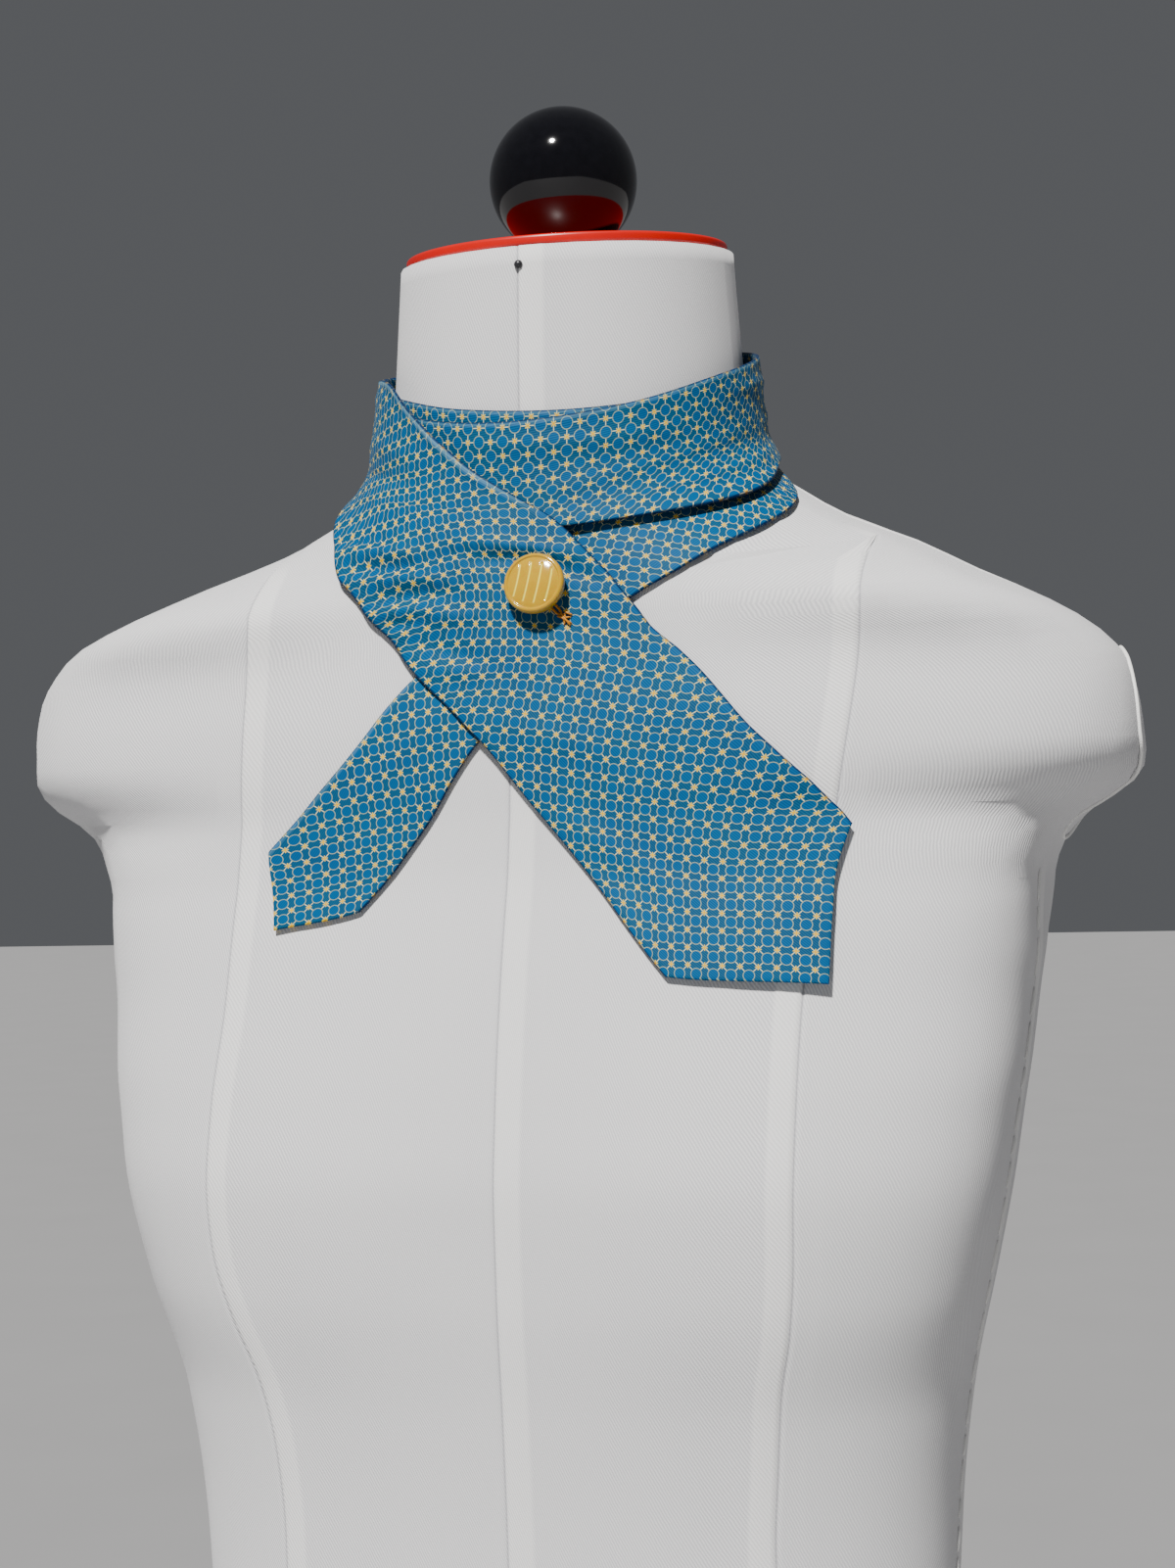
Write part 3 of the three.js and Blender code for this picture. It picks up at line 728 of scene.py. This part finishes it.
# The section of the folded strip: a face, a round edge, the inner face and the other edge,
# each as (place between the edges' middles, outward over the edge, height in the wall).
section = [(j / STRIP_CELLS, 0, WALL) for j in range(STRIP_CELLS + 1)]
for j in range(1, EDGE_CELLS):
    angle = math.pi * j / EDGE_CELLS
    section.append((1, ROUND * math.sin(angle), ROUND + ROUND * math.cos(angle)))
section += [(1 - j / STRIP_CELLS, 0, 0) for j in range(STRIP_CELLS + 1)]
for j in range(1, EDGE_CELLS):
    angle = math.pi * j / EDGE_CELLS
    section.append((0, -ROUND * math.sin(angle), ROUND - ROUND * math.cos(angle)))

step_count = round(strip_lengths[-1] / STRIP_STEP)
stations = [(row_at(strip_lengths[-1] * k / step_count), 0) for k in range(step_count + 1)]
stations = ([(0, -turn) for turn in reversed(END_TURNS)] + stations
            + [(STRIP_LAST, turn) for turn in END_TURNS])

bm = bmesh.new()
bmesh.ops.create_grid(bm, x_segments=len(section), y_segments=len(stations) - 1, size=1)
uv_layer = bm.loops.layers.uv.new("cloth")
edge_shade_layer = bm.verts.layers.float.new("rolled_edge_shade")
edge_highlight_layer = bm.verts.layers.float.new("painted_edge_highlight")
places = {vert: grid_place(vert, len(section), len(stations) - 1) for vert in bm.verts}
strip_uv = {}
surface = {}
for k, (row, end_turn) in enumerate(stations):
    nearby = []
    u_here = length_at(row)
    for crease in flat_creases:
        start, end, half_width, height = crease
        reach = 3 * half_width + CREASE_MARGIN
        if min(start.x, end.x) - reach < u_here < max(start.x, end.x) + reach:
            nearby.append(crease)
    for j, (between, over, raised) in enumerate(section):
        width = width_at(min(max(row, 1), STRIP_LAST - 1))
        v = (between - 0.5) * (width - 2 * ROUND) + over
        across = v / width + 0.5
        cut_row = pointed_row(row, across)
        u = length_at(cut_row)
        key = (k, round(across, 5))
        if key not in surface:
            height, turn, lift = strip_place(cut_row, across)
            lift += crease_height(u, v, nearby)
            out = form_normal(height, turn)
            point = form_point(height, turn) + out * lift
            ahead = Vector((0, 0, 0))
            if end_turn:
                inward = pointed_row(1 if end_turn < 0 else STRIP_LAST - 1, across)
                within = lifted_point(*strip_place(inward, across))
                ahead = (point - within).normalized()
            surface[key] = (point, out, ahead, u)
        point, out, ahead, u = surface[key]
        angle = math.radians(abs(end_turn))
        rise = ROUND + (raised - ROUND) * math.cos(angle)
        place = point + out * rise + ahead * ROUND * math.sin(angle)
        strip_uv[(j, k)] = ((u, v), place)
for vert, (j, k) in places.items():
    vert.co = strip_uv[(j % len(section), k)][1] * MM
    between, over, raised = section[j % len(section)]
    vert[edge_shade_layer] = 1 if over else 0
    row = stations[k][0]
    # the outer face's upper edge is painted paler: a painted highlight where the rolled edge
    # catches the light
    edge_highlight = EDGE_HIGHLIGHT_TURNS + (1 - EDGE_HIGHLIGHT_TURNS) * fade(row, *EDGE_HIGHLIGHT_FROM) - fade(row, *EDGE_HIGHLIGHT_TO)
    vert[edge_highlight_layer] = max(edge_highlight, 0) if j % len(section) == 0 else 0
for face in bm.faces:
    for loop in face.loops:
        j, k = places[loop.vert]
        loop[uv_layer].uv = strip_uv[(j % len(section), k)][0]
bmesh.ops.remove_doubles(bm, verts=bm.verts, dist=2e-6)
bmesh.ops.recalc_face_normals(bm, faces=bm.faces)


def srgb(red, green, blue):
    """A display colour as the shader's linear one."""
    return tuple((part / 255) ** 2.2 for part in (red, green, blue)) + (1,)


# The print: small eight-rayed stars on a square lattice laid slantwise over the strip, with
# a ringed round spot in the middle of each square.
LATTICE_PITCH = 5.95
SILK_BLUE = srgb(22, 92, 126)
SPOT_BLUE = srgb(10, 98, 150)
RING_COLOUR = srgb(184, 198, 150)
RAY_COLOUR = srgb(242, 242, 184)
PETAL_COLOUR = srgb(248, 220, 52)
HEART_COLOUR = srgb(238, 176, 4)
# a dark blue for the weave's ribs and dark threads, and for the painted shade along both rolled
# edges
WEAVE_DARK_AND_EDGE_SHADE = srgb(6, 22, 62)
# a pale blue for the painted highlight along the lit upper edge
HIGHLIGHT_BLUE = srgb(132, 184, 206)
TONE_BLUE = srgb(14, 48, 110)
SILK_RIB_PITCH = 0.7
SILK_RIB_SLANT = 0.12
# the print's parts in lattice pitches: half widths, and distances from a star or a spot
RAY_HALF, SHORT_RAY, LONG_RAY = 0.027, 0.17, 0.5
HEART_REACH, HEART_SOFTNESS = 0.078, 0.03
SPOT_REACH, RING_REACH, RING_HALF, RING_SOFTNESS = 0.30, 0.32, 0.017, 0.014

silk, tree, shader = new_material("printed_silk")
silk_place = add_node(tree, "ShaderNodeUVMap", {"uv_map": "cloth"}).outputs["UV"]
split = add_node(tree, "ShaderNodeSeparateXYZ", Vector=silk_place)
along, over = split.outputs["X"], split.outputs["Y"]
slant = 1 / (math.sqrt(2) * LATTICE_PITCH)


def to_corner(tree, value):
    """The signed distance to the lattice's nearest line, in pitches."""
    part = calculate(tree, "FRACT", calculate(tree, "ADD", value, 0.5))
    return calculate(tree, "ABSOLUTE", calculate(tree, "SUBTRACT", part, 0.5))


first_axis = calculate(tree, "MULTIPLY", calculate(tree, "ADD", along, over), slant)
second_axis = calculate(tree, "MULTIPLY", calculate(tree, "SUBTRACT", over, along), slant)
a = to_corner(tree, first_axis)
b = to_corner(tree, second_axis)


def below(tree, value, limit, softness=0.02):
    """1 where the value is under the limit, with a soft edge."""
    made = add_node(tree, "ShaderNodeMapRange", {"interpolation_type": "SMOOTHSTEP"}, Value=value)
    ends = {"From Min": limit - softness, "From Max": limit + softness, "To Min": 1, "To Max": 0}
    for name, end in ends.items():
        made.inputs[name].default_value = end
    return made.outputs[0]


narrow = calculate(tree, "MINIMUM", a, b)
wide = calculate(tree, "MAXIMUM", a, b)
summed = calculate(tree, "ADD", a, b)
apart = calculate(tree, "SUBTRACT", wide, narrow)
short_rays = calculate(
    tree, "MULTIPLY", below(tree, narrow, RAY_HALF), below(tree, wide, SHORT_RAY))
long_rays = calculate(
    tree, "MULTIPLY", below(tree, apart, RAY_HALF), below(tree, summed, LONG_RAY))
rays = calculate(tree, "MAXIMUM", short_rays, long_rays)


def distance(tree, x, y):
    square = calculate(tree, "MULTIPLY", x, x)
    return calculate(tree, "SQRT", calculate(tree, "MULTIPLY_ADD", y, y, square))


heart = below(tree, distance(tree, a, b), HEART_REACH, HEART_SOFTNESS)
from_centre = distance(
    tree, calculate(tree, "SUBTRACT", 0.5, a), calculate(tree, "SUBTRACT", 0.5, b))
off_ring = calculate(tree, "ABSOLUTE", calculate(tree, "SUBTRACT", from_centre, RING_REACH))
ring = below(tree, off_ring, RING_HALF, RING_SOFTNESS)
spot = below(tree, from_centre, SPOT_REACH)

tone = noise(tree, silk_place, 0.05)
grain = noise(tree, silk_place, 3.5)
rib_line = calculate(tree, "MULTIPLY_ADD", along, SILK_RIB_SLANT, over)
silk_rib = ribs(tree, rib_line, SILK_RIB_PITCH)
colour = mix_colours(tree, spot, SILK_BLUE, SPOT_BLUE)
rib_share = calculate(tree, "MULTIPLY", calculate(tree, "SUBTRACT", 1.0, silk_rib), 0.42)
colour = mix_colours(tree, rib_share, colour, WEAVE_DARK_AND_EDGE_SHADE)
tone_share = calculate(tree, "MULTIPLY_ADD", tone, 0.5, -0.15, clamp=True)
colour = mix_colours(tree, tone_share, colour, TONE_BLUE)
colour = mix_colours(tree, calculate(tree, "MULTIPLY", ring, 0.8), colour, RING_COLOUR)
colour = mix_colours(tree, long_rays, colour, RAY_COLOUR)
colour = mix_colours(tree, short_rays, colour, PETAL_COLOUR)
colour = mix_colours(tree, heart, colour, HEART_COLOUR)
thread_share = calculate(tree, "MULTIPLY", grain, 0.22)
colour = mix_colours(tree, thread_share, colour, WEAVE_DARK_AND_EDGE_SHADE)
# painted highlight: the upper edge is mixed towards a pale blue
edge_highlight_share = calculate(tree, "MULTIPLY", painted(tree, "painted_edge_highlight"), 0.5)
colour = mix_colours(tree, edge_highlight_share, colour, HIGHLIGHT_BLUE)
# painted shade: both rolled edges are mixed towards a dark blue
edge_shade_share = calculate(tree, "MULTIPLY", painted(tree, "rolled_edge_shade"), 0.8)
colour = mix_colours(tree, edge_shade_share, colour, WEAVE_DARK_AND_EDGE_SHADE)
link(tree, colour, shader, "Base Color")
shader.inputs["Roughness"].default_value = 0.55
shader.inputs["Specular IOR Level"].default_value = 0.09
shader.inputs["Sheen Weight"].default_value = 0.03
shader.inputs["Sheen Roughness"].default_value = 0.35
print_rise = calculate(tree, "MULTIPLY_ADD", rays, 0.4, silk_rib)
add_bump(tree, shader, print_rise, 0.45, 0.00010)

strip = finish_mesh("silk_strip", bm, silk)
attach(strip, "root")
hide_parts("tail", "lower_turn", "inner_turn", "outer_turn", "blade")

# The neck cap. A moulded red plastic disc with rounded edges, screwed flat on the top of
# the neck over the turned-in edge of the cover.
CAP_SCALE, CAP_ROUND, CAP_SEAT = 0.965, 0.02, 0.32
CAP_THICKNESS, CAP_EDGE, CAP_DOME = 3.6, 1.1, 1.2
CAP_EDGE_STEPS, CAP_DOME_STEPS, CAP_SIDES = 4, 6, 128
CAP_RED, CAP_DARK_RED = srgb(212, 16, 3), srgb(190, 10, 2)
CLEARANCE = 0.3

# each ring of the cap: its share of the neck's outline, and its height over the neck
cap_flat, cap_top = CAP_SCALE - CAP_ROUND, CLEARANCE + CAP_THICKNESS
cap_rings = [(0.0, CLEARANCE), (cap_flat, CLEARANCE)]
for j in range(1, CAP_EDGE_STEPS + 1):
    angle = math.pi / 2 * j / CAP_EDGE_STEPS
    cap_rings.append((cap_flat + CAP_ROUND * math.sin(angle),
                      CLEARANCE + CAP_EDGE * (1 - math.cos(angle))))
for j in range(CAP_EDGE_STEPS + 1):
    angle = math.pi / 2 * j / CAP_EDGE_STEPS
    cap_rings.append((cap_flat + CAP_ROUND * math.cos(angle),
                      cap_top - CAP_EDGE * (1 - math.sin(angle))))
for j in range(1, CAP_DOME_STEPS + 1):
    part = j / CAP_DOME_STEPS
    cap_rings.append((cap_flat + (CAP_SEAT - cap_flat) * part,
                      cap_top + CAP_DOME * math.sin(math.pi / 2 * part)))
cap_rings.append((0.0, cap_top + CAP_DOME))

cap_plastic, tree, shader = new_material("cap_plastic")
place = object_place(tree)
cloudy, grit = noise(tree, place, 60.0), noise(tree, place, 900.0)
link(tree, mix_colours(tree, cloudy, CAP_RED, CAP_DARK_RED), shader, "Base Color")
link(tree, calculate(tree, "MULTIPLY_ADD", cloudy, 0.15, 0.24), shader, "Roughness")
add_bump(tree, shader, grit, 0.1, 0.0001)

bm = bmesh.new()
bmesh.ops.create_grid(bm, x_segments=CAP_SIDES, y_segments=len(cap_rings) - 1, size=1)
for vert in bm.verts:
    column, k = grid_place(vert, CAP_SIDES, len(cap_rings) - 1)
    part, rise = cap_rings[k]
    point = form_point(NECK_TOP, 360 * column / CAP_SIDES, part)
    vert.co = (point + Vector((0, 0, rise))) * MM
close_up(bm)
cap = finish_mesh("cap_disc", bm, cap_plastic)
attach(cap, "root")
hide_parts("neck_cap")

# The knob. A turned wooden ball in black gloss lacquer on a short foot, screwed down on
# the cap as a handle for carrying the form.
KNOB_RADIUS, KNOB_FOOT, KNOB_FOOT_HEIGHT = 26.3, 14, 1.8
KNOB_ROWS, KNOB_SIDES = 40, 72
LACQUER_BLACK, LACQUER_DUST = (0.001, 0.001, 0.002, 1), (0.004, 0.004, 0.006, 1)

lacquer, tree, shader = new_material("knob_lacquer")
place = object_place(tree)
dust, smear = noise(tree, place, 320.0), noise(tree, place, 45.0)
link(tree, mix_colours(tree, dust, LACQUER_BLACK, LACQUER_DUST), shader, "Base Color")
link(tree, calculate(tree, "MULTIPLY_ADD", smear, 0.10, 0.03), shader, "Roughness")
shader.inputs["Coat Weight"].default_value = 0.2
shader.inputs["Coat Roughness"].default_value = 0.03
add_bump(tree, shader, smear, 0.02, 0.0002)

foot_angle = math.asin(KNOB_FOOT / KNOB_RADIUS)
ball_centre = KNOB_FOOT_HEIGHT + KNOB_RADIUS * math.cos(foot_angle)
knob_outline = [(0, 0), (KNOB_FOOT + 1.5, 0), (KNOB_FOOT + 2, 0.4), (KNOB_FOOT + 1.6, 1.0),
                (KNOB_FOOT + 0.2, 1.5)]
for j in range(KNOB_ROWS + 1):
    angle = foot_angle + (math.pi - foot_angle) * j / KNOB_ROWS
    reach = KNOB_RADIUS * math.sin(angle) if j < KNOB_ROWS else 0
    knob_outline.append((reach, ball_centre - KNOB_RADIUS * math.cos(angle)))


def turned(outline, sides):
    """A closed body turned round the upright axis, in millimetres."""
    made = bmesh.new()
    verts = [made.verts.new((x, 0, z)) for x, z in outline]
    edges = [made.edges.new(pair) for pair in zip(verts, verts[1:])]
    bmesh.ops.spin(made, geom=verts + edges, cent=(0, 0, 0), axis=(0, 0, 1),
                   angle=2 * math.pi, steps=sides, use_merge=True)
    bmesh.ops.remove_doubles(made, verts=made.verts, dist=1e-4)
    bmesh.ops.recalc_face_normals(made, faces=made.faces)
    return made


neck_middle = form_point(NECK_TOP, 0, 0)
knob_seat = neck_middle + Vector((0, 0, 2 * CLEARANCE + CAP_THICKNESS + CAP_DOME))
neck_tilt = math.radians(form_shape(NECK_TOP)[5])
bm = turned(knob_outline, KNOB_SIDES)
bmesh.ops.transform(bm, verts=bm.verts, matrix=(
    Matrix.Scale(MM, 4) @ Matrix.Translation(knob_seat) @ Matrix.Rotation(neck_tilt, 4, "X")))
knob = finish_mesh("knob_ball", bm, lacquer)
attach(knob, "root")
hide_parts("knob")

# The neck pin. A short black steel tack with a round head, driven through the cover at the
# top of the front seam.
PIN_HEIGHT, PIN_TURN = 723, 0.5
PIN_RADIUS, PIN_UNDER, PIN_EDGE, PIN_RISE = 1.5, 0.85, 0.2, 1.3
PIN_ROWS, PIN_SIDES = 10, 32
PIN_BLACK, PIN_SCUFF = (0.006, 0.006, 0.008, 1), (0.03, 0.03, 0.035, 1)


def seat(height, turn, lift, lean=0.0):
    """Places a body that stands on z = 0 on the form, facing out, in metres."""
    out = form_normal(height, turn)
    side = Vector((0, 0, 1)).cross(out).normalized()
    axes = Matrix((side, out.cross(side), out)).transposed().to_4x4()
    point = form_point(height, turn) + out * lift
    return (Matrix.Scale(MM, 4) @ Matrix.Translation(point) @ axes
            @ Matrix.Rotation(math.radians(-lean), 4, "Z"))


pin_metal, tree, shader = new_material("pin_metal")
scuffs = noise(tree, object_place(tree), 1500.0)
link(tree, mix_colours(tree, scuffs, PIN_BLACK, PIN_SCUFF), shader, "Base Color")
link(tree, calculate(tree, "MULTIPLY_ADD", scuffs, 0.2, 0.25), shader, "Roughness")
pin_outline = [(0, 0), (PIN_UNDER * PIN_RADIUS, 0)]
for j in range(PIN_ROWS + 1):
    angle = math.pi / 2 * j / PIN_ROWS
    reach = PIN_RADIUS * math.cos(angle) if j < PIN_ROWS else 0
    pin_outline.append((reach, PIN_EDGE + PIN_RISE * math.sin(angle)))
bm = turned(pin_outline, PIN_SIDES)
bmesh.ops.transform(bm, verts=bm.verts, matrix=seat(PIN_HEIGHT, PIN_TURN, CLEARANCE))
pin = finish_mesh("pin_head", bm, pin_metal)
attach(pin, "root")
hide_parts("neck_pin")

# The button. A domed disc of cast ochre resin with a low rim and four scored lines, sewn to
# the lower layer by a thread shank and pushed through the blade's buttonhole.
BUTTON_HEIGHT, BUTTON_TURN, BUTTON_LIFT, BUTTON_LEAN = 611.2, 14.7, 8.1, 10
BUTTON_RADIUS, BUTTON_THICKNESS, BUTTON_SHANK = 10.2, 4.2, 0.9
BUTTON_RIM, BUTTON_SLOPE, BUTTON_WELL, BUTTON_DOME = 1.1, 0.5, 0.45, 1.1
GROOVE_COUNT, GROOVE_PITCH, GROOVE_HALF = 4, 3.7, 0.24
GROOVE_LENGTH, GROOVE_SHORTER, GROOVE_END = 14.5, 2.4, 0.9
GROOVE_DEPTH, GROOVE_BOW = 0.3, 0.5
BUTTON_CELLS = 88
BUTTON_FACE = BUTTON_SHANK + BUTTON_THICKNESS
# below the rim: how far in from the edge, and the height, down to the shank's root
BUTTON_SIDE = [
    (0.0, 2.8), (0.15, 2.0), (0.5, 1.35), (1.2, 0.98), (2.2, 0.9), (7.2, 0.9), (7.2, 0),
]
RESIN_LIGHT, RESIN_DARK = srgb(206, 166, 40), srgb(184, 140, 24)
RESIN_FLECK, RESIN_SCORED = srgb(160, 118, 18), srgb(250, 236, 96)

resin, tree, shader = new_material("button_resin")
face_place = add_node(tree, "ShaderNodeUVMap", {"uv_map": "face"}).outputs["UV"]
swirl, fleck = noise(tree, face_place, 0.22, 4.0), noise(tree, face_place, 3.0)
amber = mix_colours(tree, swirl, RESIN_LIGHT, RESIN_DARK)
amber = mix_colours(tree, calculate(tree, "MULTIPLY", fleck, 0.25), amber, RESIN_FLECK)
amber = mix_colours(tree, painted(tree, "scored"), amber, RESIN_SCORED)
link(tree, amber, shader, "Base Color")
link(tree, calculate(tree, "MULTIPLY_ADD", fleck, 0.10, 0.06), shader, "Roughness")
shader.inputs["Subsurface Weight"].default_value = 0.15
shader.inputs["Subsurface Scale"].default_value = 0.002
shader.inputs["Coat Weight"].default_value = 0.5
shader.inputs["Coat Roughness"].default_value = 0.08


def button_height(reach):
    """The height of the button's face at a distance from its middle."""
    inner = BUTTON_RADIUS - BUTTON_RIM - BUTTON_SLOPE
    if reach < inner:
        return BUTTON_FACE - BUTTON_WELL + BUTTON_DOME * (1 - (reach / inner) ** 2) ** 0.8
    if reach < BUTTON_RADIUS - BUTTON_RIM:
        return BUTTON_FACE - BUTTON_WELL * (1 - fade(reach, inner, BUTTON_RADIUS - BUTTON_RIM))
    over = (reach - BUTTON_RADIUS + BUTTON_RIM) / BUTTON_RIM
    return BUTTON_FACE - BUTTON_RIM * (1 - math.sqrt(max(0, 1 - over ** 2)))


def groove_share(x, y):
    """How deep a place lies in a scored line, from 0 to 1."""
    share = 0
    for k in range(GROOVE_COUNT):
        line = k - (GROOVE_COUNT - 1) / 2
        half = (GROOVE_LENGTH - (GROOVE_SHORTER if abs(line) > 1 else 0)) / 2
        bowed = line * GROOVE_PITCH + GROOVE_BOW * (1 - (y / half) ** 2) - GROOVE_BOW / 2
        width = max(0, 1 - (abs(x - bowed) / (2 * GROOVE_HALF)) ** 2)
        share = max(share, width * (1 - fade(abs(y), half - GROOVE_END, half)))
    return share


bm = bmesh.new()
bmesh.ops.create_grid(bm, x_segments=BUTTON_CELLS, y_segments=BUTTON_CELLS, size=1)
face_uv = bm.loops.layers.uv.new("face")
scored_layer = bm.verts.layers.float.new("scored")
for vert in bm.verts:
    x, y = vert.co.x, vert.co.y
    on_disc = Vector((x * math.sqrt(1 - y * y / 2), y * math.sqrt(1 - x * x / 2), 0))
    vert.co = on_disc * BUTTON_RADIUS
    share = groove_share(vert.co.x, vert.co.y)
    vert[scored_layer] = share ** 2
    vert.co.z = button_height(vert.co.xy.length) - GROOVE_DEPTH * share
rim = [edge for edge in bm.edges if edge.is_boundary]
for inset, level in BUTTON_SIDE:
    grown = bmesh.ops.extrude_edge_only(bm, edges=rim)["geom"]
    rim = [part for part in grown if isinstance(part, bmesh.types.BMEdge)]
    for vert in {vert for edge in rim for vert in edge.verts}:
        vert.co.xy = vert.co.xy.normalized() * (BUTTON_RADIUS - inset)
        vert.co.z = level
bmesh.ops.holes_fill(bm, edges=[edge for edge in bm.edges if edge.is_boundary], sides=0)
for face in bm.faces:
    for loop in face.loops:
        loop[face_uv].uv = loop.vert.co.xy
bmesh.ops.recalc_face_normals(bm, faces=bm.faces)
bmesh.ops.transform(bm, verts=bm.verts, matrix=seat(BUTTON_HEIGHT, BUTTON_TURN, BUTTON_LIFT,
                                                    BUTTON_LEAN))
button = finish_mesh("button_disc", bm, resin)
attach(button, "root")
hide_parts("button")

# The buttonhole. A short slit across the blade, worked over with gold silk twist, whose
# knotted end shows below the button.
HOLE_START, HOLE_END, HOLE_ACROSS, HOLE_HALF = 31.62, 32.82, 0.29, 0.9
TWIST_HALF, TWIST_STEPS, TWIST_STRAND = 0.42, 120, 0.00045
TWIST_DARK, TWIST_GOLD = srgb(150, 84, 6), srgb(222, 150, 30)
# the knot's loose ends: row, across, rise, length in rows, lean across
TUFT = [
    (32.80, 0.285, 0.5, 0.16, 0.030), (32.82, 0.300, 0.7, 0.20, -0.020),
    (32.84, 0.275, 0.4, 0.12, 0.045), (32.80, 0.310, 0.5, 0.14, -0.050),
    (32.86, 0.290, 0.9, 0.17, 0.005), (32.83, 0.262, 0.5, 0.10, -0.015),
]

gold_twist, tree, shader = new_material("gold_twist")
strands = twisted(tree, "X", TWIST_STRAND)
link(tree, mix_colours(tree, strands, TWIST_DARK, TWIST_GOLD), shader, "Base Color")
shader.inputs["Roughness"].default_value = 0.45
add_bump(tree, shader, strands, 0.6, 0.0001)


def on_blade(row, across, rise):
    """A point over the blade's outer face."""
    height, turn, lift = strip_place(row, across)
    u, v = length_at(row), (across - 0.5) * width_at(row)
    return lifted_point(height, turn, lift + crease_height(u, v, flat_creases) + WALL + rise)


hole_width = width_at((HOLE_START + HOLE_END) / 2)
path = []
for k in range(TWIST_STEPS):
    angle = 2 * math.pi * k / TWIST_STEPS
    share = (1 - math.cos(angle)) / 2
    row = HOLE_START + (HOLE_END - HOLE_START) * share
    across = HOLE_ACROSS + HOLE_HALF / hole_width * max(-1, min(1, 2.2 * math.sin(angle)))
    knot = 0.12 * math.sin(2 * math.pi * k / 3)
    path.append(on_blade(row, across, 0.15 + knot))
bm = tube(path, TWIST_HALF, 8, closed=True)
strand_mesh = bpy.data.meshes.new("strand")
for row, across, rise, length, lean in TUFT:
    strand = []
    for k in range(9):
        t = k / 8
        lift = 0.3 + rise * math.sin(math.pi * (0.25 + 0.7 * t))
        strand.append(on_blade(row + length * t, across + lean * t * t, lift))
    loose_end = tube(strand, TWIST_HALF * 0.8, 6)
    loose_end.to_mesh(strand_mesh)
    loose_end.free()
    bm.from_mesh(strand_mesh)
bpy.data.meshes.remove(strand_mesh)
buttonhole = finish_mesh("buttonhole_thread", bm, gold_twist)
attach(buttonhole, "root")
